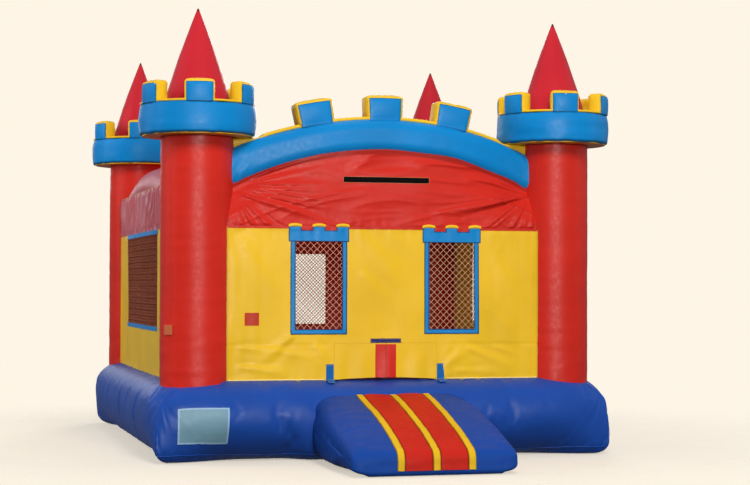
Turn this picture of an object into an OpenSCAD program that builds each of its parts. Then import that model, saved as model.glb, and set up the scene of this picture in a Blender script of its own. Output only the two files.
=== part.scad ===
// Inflatable bounce house: four towers on an air-filled base, a crenellated front arch,
// netted windows, a slit door with two hanging flaps and an entrance ramp.
// Millimetres. The origin is the middle of the base's underside, -Y is the front, +Z is up.

/* [Base] */
// Width of the base between its side seams
base_w = 3960; // [3700:10:4400]
// Depth of the base between its front and back seams
base_d = 4570; // [4200:10:5000]
// Height of the base
base_h = 660; // [560:10:720]
// How far the sides swell out past the seams
base_swell = 25; // [10:1:45]
// How far the swelling falls back towards the top and the ground
base_swell_drop = 30; // [10:1:60]
// Radius of the rounded upper edge
base_edge_r = 90; // [60:1:110]
// Radius of the rounded lower edge
base_foot_r = 45; // [20:1:60]
// Number of sewn channels in the bounce floor
floor_channels = 8; // [5:1:12]
// Depth of the sewn lines between the channels
floor_seam_depth = 40; // [20:1:60]

/* [Towers] */
// Radius of a column
column_r = 310; // [270:1:330]
// Distance of a column's axis from the base's seams
column_inset = 380; // [350:1:420]
// Radius of the rounded foot of a column
column_foot_r = 30; // [10:1:50]
// Gap between the front arch and the collars over it
collar_clear = 2; // [1:0.5:40]
// Height of a collar
collar_h = 255; // [200:5:300]
// Outer radius of a collar
collar_r = 500; // [450:1:540]
// How far a collar's face falls back towards its rims
collar_swell = 20; // [8:1:40]
// Thickness of the panel under a collar
soffit_t = 8; // [4:1:15]
// Radial thickness of the crown of merlons
crown_t = 125; // [90:1:135]
// Height of the crown's band between the merlons
crown_band_h = 20; // [10:1:40]
// Height of a merlon
merlon_h = 180; // [120:5:240]
// Number of merlons on a tower
merlon_count = 6; // [5:1:7]
// Angle that a merlon takes up
merlon_deg = 31; // [24:1:36]
// Turn of the merlons away from the front
merlon_turn = -7; // [-30:1:30]
// Width of the border around a merlon's face panel
face_border = 22; // [12:1:35]
// Thickness of a merlon's face panel
face_t = 6; // [3:1:12]
// Radius of a cone at its foot
cone_r = 292; // [240:1:300]
// Height of a cone
cone_h = 830; // [600:10:1000]
// Radius of a cone's blunt tip
cone_tip_r = 6; // [3:1:20]

/* [Front arch] */
// Radius of the arch's lower edge
arch_r = 3070; // [2900:10:3600]
// Height of the arch's lower edge at its middle
arch_z = 2600; // [2560:5:2660]
// Height of the arch's section
arch_h = 305; // [280:5:330]
// Depth of the arch from front to back
arch_depth = 330; // [300:5:400]
// Radius of the arch's rounded edges
arch_edge_r = 110; // [95:1:130]
// How far the arch stands in front of the front wall
arch_lead = 30; // [20:1:45]
// Height of a merlon on the arch
arch_merlon_h = 200; // [140:5:260]
// Width of a merlon on the arch
arch_merlon_w = 320; // [240:5:380]
// Distance between the middles of two arch merlons
arch_merlon_step = 620; // [500:5:760]
// Depth of the crown on the arch
arch_crown_depth = 200; // [150:5:230]
// Gap between the arch's crown and the collars beside it
arch_crown_gap = 5; // [2:1:80]

/* [Beams and roof] */
// Radius of the side and back beams
beam_r = 175; // [130:5:200]
// Height of a side beam's axis at its middle
side_beam_z = 2400; // [2380:5:2450]
// How much a side beam's axis falls towards the columns
side_beam_rise = 280; // [200:5:320]
// Thickness of the roof sheet
roof_t = 3; // [2:0.5:6]

/* [Walls] */
// Thickness of a wall panel
wall_t = 3; // [2:0.5:6]
// Height where the lower panels meet the upper panels
wall_split_z = 1965; // [1940:5:1980]
// Height of the top edge of the side walls
side_wall_top_z = 2355; // [2300:5:2400]
// Length of the hook strip on the front wall
hook_strip_w = 755; // [500:5:1000]
// Height of the hook strip
hook_strip_h = 46; // [30:1:70]
// Height of the hook strip's lower edge
hook_strip_z = 2352; // [2200:2:2400]

/* [Windows] */
// Distance of the front windows from the middle
front_window_x = 590; // [540:5:760]
// Width of a front window's net
front_window_w = 410; // [340:5:470]
// Height of a front window's net
front_window_h = 750; // [600:5:770]
// Height of the front windows' sill
front_window_z = 1095; // [1070:5:1160]
// Width of the edging around a front window
frame_w = 38; // [25:1:45]
// Width of the battlement header over a front window
header_w = 520; // [490:5:600]
// Height of the header
header_h = 138; // [110:2:170]
// Depth of the header's notches
header_notch = 48; // [30:1:60]
// Width of a side window's net
side_window_w = 2100; // [1600:10:2400]
// Height of a side window's net
side_window_h = 830; // [600:5:850]
// Height of the side windows' sill
side_window_z = 1095; // [1070:5:1140]
// Width of the back window's net
back_window_w = 940; // [700:10:1400]
// Height of the back window's net
back_window_h = 760; // [600:5:800]
// Height of the back window's sill
back_window_z = 1050; // [1040:5:1140]
// Width of the edging strips of the side and back windows
strip_w = 40; // [25:1:50]
// Thickness of edging, headers and straps
trim_t = 3; // [2:0.5:5]
// Thickness of the netting
net_t = 4; // [3:0.5:6]
// Width of a net cord
net_cord = 6; // [4:0.5:10]
// Spacing of the net cords in the front windows
front_net_pitch = 68; // [60:1:100]
// Spacing of the net cords in the side and back windows
wide_net_pitch = 90; // [80:1:130]
// How far a net reaches past its window all round
net_lap = 20; // [12:1:30]

/* [Door] */
// Width of the doorway
door_w = 910; // [700:10:960]
// Height of the seam that the door flaps hang from
door_z = 980; // [900:5:1000]
// Gap around a door flap
flap_gap = 3; // [2:0.5:6]
// Gap under the door flaps
flap_floor_gap = 8; // [4:1:20]
// Width of the bar over the slit
door_bar_w = 270; // [200:5:400]
// Height of the bar over the slit
door_bar_h = 37; // [25:1:45]
// Width of the reinforcing strip beside the slit
grip_w = 90; // [50:5:130]
// Width of a hold-down strap
strap_w = 66; // [40:2:90]
// Height of a strap's end above the base
strap_up = 140; // [80:5:200]
// Length of a strap on the base
strap_out = 80; // [40:5:90]

/* [Ramp] */
// Width of the ramp
ramp_w = 1200; // [1000:10:1400]
// Length of the ramp in front of the base
ramp_l = 1350; // [1100:10:1600]
// Height of the ramp at the base
ramp_back_z = 545; // [450:5:560]
// Height of the ramp's front
ramp_front_z = 190; // [140:5:240]
// Radius of the ramp's rounded front edge
ramp_edge_r = 70; // [40:1:100]
// Width of a stripe on the ramp
stripe_w = 62; // [40:1:80]
// Width of a tread between the stripes
tread_w = 226; // [150:2:260]
// Thickness of the stripes and treads
tread_t = 4; // [2:0.5:8]
// Gap between the upper ends of the treads and the base
tread_back_gap = 30; // [15:1:60]
// Height of the lower ends of the treads
tread_foot_z = 30; // [15:1:50]

/* [Fittings] */
// Inner radius of the air inlet sleeve
inlet_r = 115; // [90:1:140]
// Wall of the sleeve
inlet_wall = 3; // [2:0.5:6]
// Length of the sleeve
inlet_l = 330; // [200:5:450]
// Length of the hem at the sleeve's mouth
inlet_hem = 45; // [25:1:70]
// Distance of the sleeve from the middle of the back
inlet_x = 1100; // [900:10:1250]
// Length of the deflation zip
zip_l = 760; // [600:10:900]
// Height of the zip's tape
zip_tape_h = 54; // [40:1:70]
// Thickness of the zip's tape
zip_tape_t = 3; // [2:0.5:5]
// Height of the zip's chain
zip_chain_h = 9; // [6:0.5:12]
// Thickness of the zip's chain
zip_chain_t = 4; // [3:0.5:6]
// Distance of the zip from the middle of the back
zip_x = -700; // [-900:10:-500]
// Length of the zip slider
slider_l = 36; // [26:1:50]
// How far the slider reaches past the chain above and below
slider_rim = 7; // [4:0.5:10]
// Thickness of the slider over the chain
slider_cover = 6; // [3:0.5:10]
// Length of the zip slider's pull
pull_l = 46; // [30:1:60]
// Width of the zip slider's pull
pull_w = 14; // [8:1:20]
// Distance of an anchor ring from the side seam
anchor_inset = 260; // [200:10:400]
// Radius of the steel of an anchor ring
anchor_rod_r = 5; // [4:0.5:7]
// Radius of an anchor ring's round part
anchor_ring_r = 32; // [30:1:45]
// Thickness of the webbing of an anchor tab
webbing_t = 4; // [3:0.5:6]
// Gap between a webbing loop and the corners of its ring
loop_end_gap = 2; // [1.5:0.5:4]
// Height of an anchor tab above its loop
anchor_tab_h = 110; // [70:5:150]

/* [Skin and seats] */
// Thickness of the skin around each air space
skin_t = 4; // [3:0.5:6]
// Gap between pieces that lie against each other
seat_gap = 0.3; // [0.2:0.05:0.5]
// Gap between an anchor ring and its webbing loop
loop_gap = 0.6; // [0.4:0.1:1]

/* [Hidden] */
$fn = 96;

// Colours of the coated fabric and the fittings
red = "#c8322a";
cone_red = "#cc3340";
yellow = "#e8c038";
sky_blue = "#2f86c8";
royal_blue = "#2a4aa5";
navy = "#2d3c6e";
cord_tan = "#c98f66";
black = "#1c1c1e";
steel = "#b4b8bd";

// Half sizes of the base and places of the columns
half_w = base_w / 2;
half_d = base_d / 2;
column_x = half_w - column_inset;
column_y = half_d - column_inset;
tube_w = 2 * column_inset;
LEFT = -1;
RIGHT = 1;
FRONT = -1;
BACK = 1;
SIDES = [LEFT, RIGHT];
ENDS = [FRONT, BACK];

// The swelling of the base's side is one large arc
swell_z = base_h / 2;
swell_r = (swell_z ^ 2 + base_swell_drop ^ 2) / (2 * base_swell_drop);
mitre_reach = base_swell + base_edge_r;

// The arcs of the front arch share one centre under the floor
arch_cz = arch_z - arch_r;
arch_top_r = arch_r + arch_h;

// Towers: the collars start where the arch passes under their rims
collar_rim_x = column_x - collar_r;
collar_z = arch_cz + sqrt(arch_top_r ^ 2 - collar_rim_x ^ 2) + collar_clear + soffit_t;
collar_top = collar_z + collar_h;
column_h = collar_top - base_h;
crown_r = collar_r - face_t - seat_gap;
collar_arc_r = ((collar_h / 2) ^ 2 + collar_swell ^ 2) / (2 * collar_swell);
notch_deg = 360 / merlon_count - merlon_deg;
cone_slope = (cone_r - cone_tip_r) / cone_h;
cut = 50;

// The walls meet the columns half way round their outer quarter
wall_off = column_r * cos(45);
wall_x = column_x + wall_off;
wall_y = column_y + wall_off;
wall_end = sqrt((column_r + seat_gap) ^ 2 - (wall_off - wall_t) ^ 2);
wall_half_x = column_x - wall_end;
wall_half_y = column_y - wall_end;

// Front arch
arch_y = wall_y + arch_lead - arch_depth / 2;
arch_back_y = arch_y - arch_depth / 2;
arch_crown_r = arch_top_r + seat_gap;
arch_crown_y = arch_y + arch_crown_depth / 2;
arch_half_deg = asin(column_x / arch_r);
arch_mid_r = arch_top_r + arch_merlon_h / 2;
arch_step_deg = asin(arch_merlon_step / arch_mid_r);
arch_merlon_deg = 2 * asin(arch_merlon_w / 2 / arch_mid_r);
arch_crown_deg = asin((collar_rim_x - arch_crown_gap) / (arch_crown_r + crown_band_h));
arch_lip = arch_lead + wall_t;
arch_lip_rise = arch_edge_r - sqrt(arch_edge_r ^ 2 - (arch_edge_r - arch_lip) ^ 2);

// Beams and roof
side_beam_x = wall_x - wall_t - seat_gap - beam_r;
side_beam_arc = (column_y ^ 2 + side_beam_rise ^ 2) / (2 * side_beam_rise);
side_beam_deg = asin(column_y / side_beam_arc);
roof_r = arch_r + arch_h / 2;
back_beam_y = wall_y - wall_t - seat_gap - beam_r;
back_beam_arc = arch_r + beam_r / 2;
back_beam_deg = asin(column_x / back_beam_arc);

// Door
hinge_z = door_z - flap_gap;
flap_bottom = base_h + flap_floor_gap;
flap_in = flap_gap / 2;
flap_w = door_w / 2 - flap_gap - flap_in;

// Ramp: the slope runs from the base to the rounded front edge
ramp_start = half_d + base_swell;
ramp_slope = atan2(ramp_back_z - ramp_front_z, ramp_l);
ramp_edge_in = ramp_edge_r * tan((90 - ramp_slope) / 2);

// Fittings stand on the swelling's outermost line
fitting_y = half_d + base_swell + seat_gap;
anchor_x = half_w - anchor_inset;
loop_r = anchor_rod_r + loop_gap;
loop_outer_r = loop_r + webbing_t;
loop_y = fitting_y + loop_outer_r;
loop_half = anchor_ring_r - anchor_rod_r - loop_end_gap;
slider_h = zip_chain_h + 2 * slider_rim;
slider_t = zip_chain_t + slider_cover;
ring_round_r = 0.9 * anchor_rod_r;
slider_start_x = zip_x - zip_l / 2 + slider_l;

// A rectangle with four round corners, about the middle of its left edge
module rounded_bar(length, height, r, shrink = 0) {
  translate([shrink, r - height / 2])
    square([length - 2 * shrink, height - 2 * r]);
  translate([r, shrink - height / 2])
    square([length - 2 * r, height - 2 * shrink]);
  for (x = [r, length - r], y = [r - height / 2, height / 2 - r])
    translate([x, y])
      circle(r - shrink);
}

// The four columns as plain posts, grown or thinned, to trim what runs up to them
module column_posts(radius) {
  for (x = SIDES, y = ENDS)
    translate([x * column_x, y * column_y, 0])
      cylinder(r = radius, h = collar_top);
}

// The collars as plain drums, to trim what passes close under them
module collar_drums(gap) {
  for (x = SIDES, y = ENDS)
    translate([x * column_x, y * column_y, collar_z - soffit_t - gap])
      cylinder(r = collar_r + gap, h = collar_h);
}

// The edge of the base seen from its end: x runs outwards from the seam, y runs up
module base_outline(shrink = 0) {
  inner = shrink - tube_w;
  intersection() {
    union() {
      translate([inner, base_foot_r])
        square([base_swell - shrink - inner, base_h - base_edge_r - base_foot_r]);
      translate([inner, base_foot_r])
        square([base_swell - base_edge_r - inner, base_h - shrink - base_foot_r]);
      translate([inner, shrink])
        square([base_swell - base_foot_r - inner, base_h - base_edge_r - shrink]);
      translate([base_swell - base_edge_r, base_h - base_edge_r])
        circle(base_edge_r - shrink);
      translate([base_swell - base_foot_r, base_foot_r])
        circle(base_foot_r - shrink);
    }
    translate([base_swell - swell_r, swell_z])
      circle(swell_r - shrink);
  }
}

// One side of the base with mitred ends, drawn as the front one
module base_side_form(half_run, half_reach, shrink) {
  inset = shrink * sqrt(2);
  outer_x = half_run + mitre_reach - inset;
  inner_x = half_run - tube_w - inset;
  intersection() {
    translate([0, -half_reach, 0])
      rotate([90, 0, -90])
        linear_extrude(2 * (half_run + mitre_reach), center = true)
          base_outline(shrink);
    linear_extrude(base_h)
      polygon([
        [-outer_x, -half_reach - mitre_reach],
        [outer_x, -half_reach - mitre_reach],
        [inner_x, tube_w - half_reach],
        [-inner_x, tube_w - half_reach]
      ]);
  }
}

module base_side(half_run, half_reach) {
  color(royal_blue)
    difference() {
      base_side_form(half_run, half_reach, 0);
      base_side_form(half_run, half_reach, skin_t);
    }
}

module base_front_tube() {
  base_side(half_w, half_d);
}

module base_back_tube() {
  rotate([0, 0, 180])
    base_side(half_w, half_d);
}

module base_left_tube() {
  rotate([0, 0, -90])
    base_side(half_d, half_w);
}

module base_right_tube() {
  rotate([0, 0, 90])
    base_side(half_d, half_w);
}

// The mattress between the sides: channels with crowned tops on one slab, front to back
module floor_form(shrink) {
  width = base_w - 2 * tube_w;
  depth = base_d - 2 * tube_w;
  channel_w = width / floor_channels;
  crown = ((channel_w / 2) ^ 2 + floor_seam_depth ^ 2) / (2 * floor_seam_depth);
  channel_h = 2 * floor_seam_depth;
  slab_h = base_h - 1.5 * floor_seam_depth;
  rotate([90, 0, 0])
    linear_extrude(depth - 2 * shrink, center = true) {
      translate([shrink - width / 2, shrink])
        square([width - 2 * shrink, slab_h - 2 * shrink]);
      for (i = [0 : floor_channels - 1])
        translate([(i + 0.5) * channel_w - width / 2, base_h])
          intersection() {
            translate([0, -crown])
              circle(crown - shrink);
            translate([shrink - channel_w / 2, -channel_h])
              square([channel_w - 2 * shrink, channel_h]);
          }
    }
}

module bounce_floor() {
  color(royal_blue)
    difference() {
      floor_form(0);
      floor_form(skin_t);
    }
}

// Moves a tower's piece to its corner
module at_tower(x, y, z) {
  translate([x * column_x, y * column_y, z])
    children();
}

module column_form(shrink) {
  translate([0, shrink])
    square([column_r - column_foot_r, column_h - 2 * shrink]);
  translate([0, column_foot_r])
    square([column_r - shrink, column_h - column_foot_r - shrink]);
  translate([column_r - column_foot_r, column_foot_r])
    circle(column_foot_r - shrink);
}

module column() {
  color(red)
    rotate_extrude()
      difference() {
        column_form(0);
        column_form(skin_t);
      }
}

module column_front_left() {
  at_tower(LEFT, FRONT, base_h) column();
}

module column_front_right() {
  at_tower(RIGHT, FRONT, base_h) column();
}

module column_back_left() {
  at_tower(LEFT, BACK, base_h) column();
}

module column_back_right() {
  at_tower(RIGHT, BACK, base_h) column();
}

// A swollen ring around the head of a column
module collar_form(shrink) {
  inner = column_r + seat_gap + shrink;
  intersection() {
    translate([inner, shrink])
      square([collar_r - inner, collar_h - 2 * shrink]);
    translate([collar_r - collar_arc_r, collar_h / 2])
      circle(collar_arc_r - shrink);
  }
}

module collar() {
  color(sky_blue)
    rotate_extrude()
      difference() {
        collar_form(0);
        collar_form(skin_t);
      }
}

module collar_front_left() {
  at_tower(LEFT, FRONT, collar_z) collar();
}

module collar_front_right() {
  at_tower(RIGHT, FRONT, collar_z) collar();
}

module collar_back_left() {
  at_tower(LEFT, BACK, collar_z) collar();
}

module collar_back_right() {
  at_tower(RIGHT, BACK, collar_z) collar();
}

// Turns its children to each merlon's middle
module at_merlons(turn = 0) {
  for (i = [0 : merlon_count - 1])
    rotate([0, 0, FRONT * 90 + merlon_turn + turn + i * 360 / merlon_count])
      children();
}

// A ring of merlons with a low band between them
module crown() {
  air_deg = merlon_deg - 2 * skin_t / (crown_r - crown_t) * 180 / PI;
  color(yellow)
    difference() {
      rotate_extrude()
        translate([crown_r - crown_t, 0])
          square([crown_t, merlon_h]);
      at_merlons(merlon_deg / 2)
        translate([0, 0, crown_band_h])
          rotate_extrude(angle = notch_deg)
            translate([crown_r - crown_t - cut, 0])
              square([crown_t + 2 * cut, merlon_h]);
      at_merlons(-air_deg / 2)
        rotate_extrude(angle = air_deg)
          translate([crown_r - crown_t + skin_t, skin_t])
            square([crown_t - 2 * skin_t, merlon_h - 2 * skin_t]);
    }
}

module crown_front_left() {
  at_tower(LEFT, FRONT, collar_top) crown();
}

module crown_front_right() {
  at_tower(RIGHT, FRONT, collar_top) crown();
}

module crown_back_left() {
  at_tower(LEFT, BACK, collar_top) crown();
}

module crown_back_right() {
  at_tower(RIGHT, BACK, collar_top) crown();
}

// Panels on the outer sides of the merlons
module tower_merlon_faces() {
  border_deg = face_border / crown_r * 180 / PI;
  face_deg = merlon_deg - 2 * border_deg;
  color(sky_blue)
    for (x = SIDES, y = ENDS)
      at_tower(x, y, collar_top)
        at_merlons(-face_deg / 2)
          rotate_extrude(angle = face_deg)
            translate([crown_r + seat_gap, 0])
              square([face_t, merlon_h - face_border]);
}

// Flat rings that close the collars from below
module tower_soffits() {
  color(yellow)
    for (x = SIDES, y = ENDS)
      at_tower(x, y, collar_z - soffit_t)
        difference() {
          cylinder(r = collar_r - collar_swell, h = soffit_t);
          translate([0, 0, -cut])
            cylinder(r = column_r + seat_gap, h = soffit_t + 2 * cut);
        }
}

// A blunt cone with a hollow inside
module cone() {
  side_t = skin_t * sqrt(1 + cone_slope ^ 2);
  hollow_r = cone_r - cone_slope * skin_t - side_t;
  hollow_tip_r = cone_tip_r / 4;
  color(cone_red)
    difference() {
      cylinder(r1 = cone_r, r2 = cone_tip_r, h = cone_h);
      translate([0, 0, skin_t])
        cylinder(r1 = hollow_r, r2 = hollow_tip_r, h = (hollow_r - hollow_tip_r) / cone_slope);
    }
}

module cone_front_left() {
  at_tower(LEFT, FRONT, collar_top) cone();
}

module cone_front_right() {
  at_tower(RIGHT, FRONT, collar_top) cone();
}

module cone_back_left() {
  at_tower(LEFT, BACK, collar_top) cone();
}

module cone_back_right() {
  at_tower(RIGHT, BACK, collar_top) cone();
}

// Carries an outline around the arch's centre: x is the radius, y runs from back to front
module arch_sweep(middle_deg, span_deg) {
  translate([0, 0, arch_cz])
    rotate([90, 0, 0])
      rotate([0, 0, 90 - middle_deg - span_deg / 2])
        rotate_extrude(angle = span_deg, $fn = 360)
          children();
}

module arch_form(shrink) {
  difference() {
    arch_sweep(0, 2 * arch_half_deg)
      translate([arch_r, arch_y])
        rounded_bar(arch_h, arch_depth, arch_edge_r, shrink);
    column_posts(column_r + seat_gap + shrink);
  }
}

module front_arch() {
  color(sky_blue)
    difference() {
      arch_form(0);
      arch_form(skin_t);
    }
}

// A band along the top of the arch with three merlons
module arch_crown() {
  back = arch_crown_y - arch_crown_depth;
  notch_top_deg = arch_step_deg - arch_merlon_deg;
  spare_deg = 1;
  end_deg = arch_crown_deg + spare_deg - arch_step_deg - arch_merlon_deg / 2;
  air_deg = arch_merlon_deg - 2 * skin_t / arch_crown_r * 180 / PI;
  color(yellow)
    difference() {
      arch_sweep(0, 2 * arch_crown_deg)
        translate([arch_crown_r, back])
          square([arch_merlon_h, arch_crown_depth]);
      for (side = SIDES) {
        arch_sweep(side * arch_step_deg / 2, notch_top_deg)
          translate([arch_crown_r + crown_band_h, back - cut])
            square([arch_merlon_h, arch_crown_depth + 2 * cut]);
        arch_sweep(side * (arch_crown_deg + spare_deg - end_deg / 2), end_deg)
          translate([arch_crown_r + crown_band_h, back - cut])
            square([arch_merlon_h, arch_crown_depth + 2 * cut]);
      }
      for (i = [-1 : 1])
        arch_sweep(i * arch_step_deg, air_deg)
          translate([arch_crown_r + skin_t, back + skin_t])
            square([arch_merlon_h - 2 * skin_t, arch_crown_depth - 2 * skin_t]);
    }
}

// Panels on the fronts and backs of the arch's merlons
module arch_merlon_faces() {
  border_deg = face_border / arch_mid_r * 180 / PI;
  front = arch_crown_y + seat_gap;
  back = arch_crown_y - arch_crown_depth - seat_gap - face_t;
  color(sky_blue)
    for (i = [-1 : 1], y = [front, back])
      arch_sweep(i * arch_step_deg, arch_merlon_deg - 2 * border_deg)
        translate([arch_crown_r, y])
          square([arch_merlon_h - face_border, face_t]);
}

// A side beam rises a little towards its middle
module side_beam_form(side, shrink) {
  difference() {
    translate([side * side_beam_x, 0, side_beam_z - side_beam_arc])
      rotate([90, 0, 90])
        rotate([0, 0, 90 - side_beam_deg])
          rotate_extrude(angle = 2 * side_beam_deg, $fn = 360)
            translate([side_beam_arc, 0])
              circle(beam_r - shrink);
    column_posts(column_r + seat_gap + shrink);
  }
}

module side_beam(side) {
  color(red)
    difference() {
      side_beam_form(side, 0);
      side_beam_form(side, skin_t);
    }
}

module side_beam_left() {
  side_beam(LEFT);
}

module side_beam_right() {
  side_beam(RIGHT);
}

// The back beam follows the curve of the roof
module back_beam_form(shrink) {
  difference() {
    arch_sweep(0, 2 * back_beam_deg)
      translate([back_beam_arc, -back_beam_y])
        circle(beam_r - shrink);
    column_posts(column_r + seat_gap + shrink);
    collar_drums(seat_gap + shrink);
  }
}

module back_beam() {
  color(red)
    difference() {
      back_beam_form(0);
      back_beam_form(skin_t);
    }
}

// A vaulted sheet from the arch to the back beam and between the side beams
module roof_sheet() {
  half_deg = asin(side_beam_x / roof_r);
  front = arch_back_y - seat_gap;
  color(red)
    difference() {
      arch_sweep(0, 2 * half_deg)
        translate([roof_r - roof_t / 2, -back_beam_y])
          square([roof_t, back_beam_y + front]);
      back_beam_form(-seat_gap);
      for (side = SIDES)
        side_beam_form(side, -seat_gap);
      column_posts(column_r + seat_gap);
    }
}

// Stands a flat outline up as a front panel: its back is on the wall's plane, moved out by lift
module on_front(lift, thickness) {
  translate([0, -wall_y - lift + thickness, 0])
    rotate([90, 0, 0])
      linear_extrude(thickness)
        children();
}

// The same for the back
module on_back(lift, thickness) {
  rotate([0, 0, 180])
    on_front(lift, thickness)
      children();
}

// The same for a side wall
module on_side(side, lift, thickness) {
  translate([side * (wall_x + lift - thickness / 2), 0, 0])
    rotate([90, 0, 90])
      linear_extrude(thickness, center = true)
        children();
}

// A rectangle about a middle line, from a low edge upwards
module pane(width, low, high) {
  translate([-width / 2, low])
    square([width, high - low]);
}

module front_wall_lower() {
  color(yellow)
    on_front(0, wall_t)
      difference() {
        pane(2 * wall_half_x, base_h, wall_split_z);
        for (side = SIDES)
          translate([side * front_window_x, 0])
            pane(front_window_w, front_window_z, front_window_z + front_window_h);
        pane(door_w, base_h - cut, door_z);
      }
}

// An upper panel whose top edge follows the arc over it
module upper_panel(top_r) {
  intersection() {
    pane(2 * wall_half_x, wall_split_z, arch_cz + top_r + cut);
    translate([0, arch_cz])
      circle(top_r, $fn = 360);
  }
}

module front_wall_upper() {
  color(red)
    on_front(0, wall_t)
      upper_panel(arch_r + arch_lip_rise - seat_gap);
}

module back_wall_lower() {
  color(red)
    on_back(0, wall_t)
      difference() {
        pane(2 * wall_half_x, base_h, wall_split_z);
        pane(back_window_w, back_window_z, back_window_z + back_window_h);
      }
}

module back_wall_upper() {
  color(red)
    on_back(0, wall_t)
      upper_panel(back_beam_arc);
}

module side_wall_lower(side) {
  color(yellow)
    on_side(side, 0, wall_t)
      difference() {
        pane(2 * wall_half_y, base_h, wall_split_z);
        pane(side_window_w, side_window_z, side_window_z + side_window_h);
      }
}

module side_wall_upper(side) {
  color(red)
    on_side(side, 0, wall_t)
      pane(2 * wall_half_y, wall_split_z, side_wall_top_z);
}

module left_wall_lower() {
  side_wall_lower(LEFT);
}

module right_wall_lower() {
  side_wall_lower(RIGHT);
}

module left_wall_upper() {
  side_wall_upper(LEFT);
}

module right_wall_upper() {
  side_wall_upper(RIGHT);
}

// A battlement: three merlons with two notches between them
module battlement(width, height, notch) {
  difference() {
    pane(width, 0, height);
    for (x = [-1, 1])
      translate([x * width / 5, 0])
        pane(width / 5, height - notch, height + cut);
  }
}

// Edging on three sides of each front window and a battlement header over it
module front_window_surrounds() {
  top = front_window_z + front_window_h;
  color(sky_blue)
    for (side = SIDES)
      translate([side * front_window_x, 0, 0])
        on_front(trim_t, trim_t) {
          difference() {
            pane(front_window_w + 2 * frame_w, front_window_z - frame_w, top);
            pane(front_window_w, front_window_z, top + cut);
          }
          translate([0, top + seat_gap])
            battlement(header_w, header_h, header_notch);
        }
}

// Edging over and under a wide window
module strip_pair(width, low, high) {
  pane(width, low - strip_w, low);
  pane(width, high, high + strip_w);
}

module window_strips() {
  side_w = side_window_w + 2 * net_lap;
  back_w = back_window_w + 2 * net_lap;
  color(sky_blue) {
    for (side = SIDES)
      on_side(side, trim_t, trim_t)
        strip_pair(side_w, side_window_z, side_window_z + side_window_h);
    on_back(trim_t, trim_t)
      strip_pair(back_w, back_window_z, back_window_z + back_window_h);
  }
}

// Where a sign would hang: a bare hook strip
module hook_strip() {
  color(black)
    on_front(trim_t, trim_t)
      pane(hook_strip_w, hook_strip_z, hook_strip_z + hook_strip_h);
}

// Netting with diamond meshes inside a plain border
module net(width, low, height, pitch) {
  across = pitch * sqrt(2);
  columns = ceil(width / across) + 1;
  rows = ceil(height / across) + 1;
  hole = pitch - net_cord;
  difference() {
    pane(width + 2 * net_lap, low - net_lap, low + height + net_lap);
    intersection() {
      pane(width, low, low + height);
      for (i = [-columns : columns], j = [-rows : rows])
        if ((i + j) % 2 == 0)
          translate([i * across / 2, low + height / 2 + j * across / 2])
            rotate(45)
              square(hole, center = true);
    }
  }
}

module front_window_nets() {
  color(cord_tan)
    for (side = SIDES)
      translate([side * front_window_x, 0, 0])
        on_front(-wall_t, net_t)
          net(front_window_w, front_window_z, front_window_h, front_net_pitch);
}

module side_window_net(side) {
  color(cord_tan)
    on_side(side, -wall_t, net_t)
      net(side_window_w, side_window_z, side_window_h, wide_net_pitch);
}

module left_window_net() {
  side_window_net(LEFT);
}

module right_window_net() {
  side_window_net(RIGHT);
}

module back_window_net() {
  color(cord_tan)
    on_back(-wall_t, net_t)
      net(back_window_w, back_window_z, back_window_h, wide_net_pitch);
}

// One half of the slit door, hanging from a round hem close under the seam
module door_flap(side) {
  middle = side * (flap_in + flap_w / 2);
  color(yellow) {
    on_front(0, wall_t)
      translate([middle, 0])
        pane(flap_w, flap_bottom, hinge_z);
    translate([middle - flap_w / 2, wall_t / 2 - wall_y, hinge_z])
      rotate([0, 90, 0])
        cylinder(r = flap_gap - seat_gap, h = flap_w);
  }
}

module door_flap_left() {
  door_flap(LEFT);
}

module door_flap_right() {
  door_flap(RIGHT);
}

// The reinforcing strip beside the slit, sewn on a flap
module door_grip(side) {
  color(red)
    on_front(trim_t, trim_t)
      translate([side * (flap_in + grip_w / 2), 0])
        pane(grip_w, flap_bottom, hinge_z - 2 * flap_gap - trim_t);
}

module door_grip_left() {
  door_grip(LEFT);
}

module door_grip_right() {
  door_grip(RIGHT);
}

module door_bar() {
  color(navy)
    on_front(trim_t, trim_t)
      pane(door_bar_w, door_z, door_z + door_bar_h);
}

// Webbing from the wall beside the doorway down onto the base
module hold_down_straps() {
  color(sky_blue)
    for (side = SIDES)
      translate([side * (door_w / 2 + flap_gap + strap_w / 2), 0, 0]) {
        on_front(trim_t, trim_t)
          pane(strap_w, base_h, base_h + strap_up);
        translate([-strap_w / 2, -wall_y - strap_out, base_h])
          cube([strap_w, strap_out, trim_t]);
      }
}

// The ramp seen from its side, up against the base: x runs forwards, y runs up.
// A positive grow lies over the slope and the front, a negative one is the air space.
module ramp_outline(grow = 0) {
  hollow = max(-grow, 0);
  edge_x = ramp_l - ramp_edge_r;
  edge_y = ramp_front_z - ramp_edge_in;
  round_r = ramp_edge_r + grow;
  back_x = -base_swell_drop;
  difference() {
    union() {
      polygon([
        [back_x, hollow],
        [ramp_l + grow, hollow],
        [ramp_l + grow, edge_y],
        [edge_x + round_r * sin(ramp_slope), edge_y + round_r * cos(ramp_slope)],
        [back_x, ramp_back_z + grow / cos(ramp_slope) - back_x * tan(ramp_slope)]
      ]);
      translate([edge_x, edge_y])
        circle(round_r);
    }
    translate([-base_swell, 0])
      base_outline(-seat_gap - hollow);
  }
}

// Stands the ramp's outline up across the front of the base
module ramp_sweep(width) {
  translate([0, -ramp_start, 0])
    rotate([90, 0, -90])
      linear_extrude(width, center = true)
        children();
}

module ramp_cushion() {
  color(royal_blue)
    difference() {
      ramp_sweep(ramp_w)
        ramp_outline();
      ramp_sweep(ramp_w - 2 * skin_t)
        ramp_outline(-skin_t);
    }
}

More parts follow.
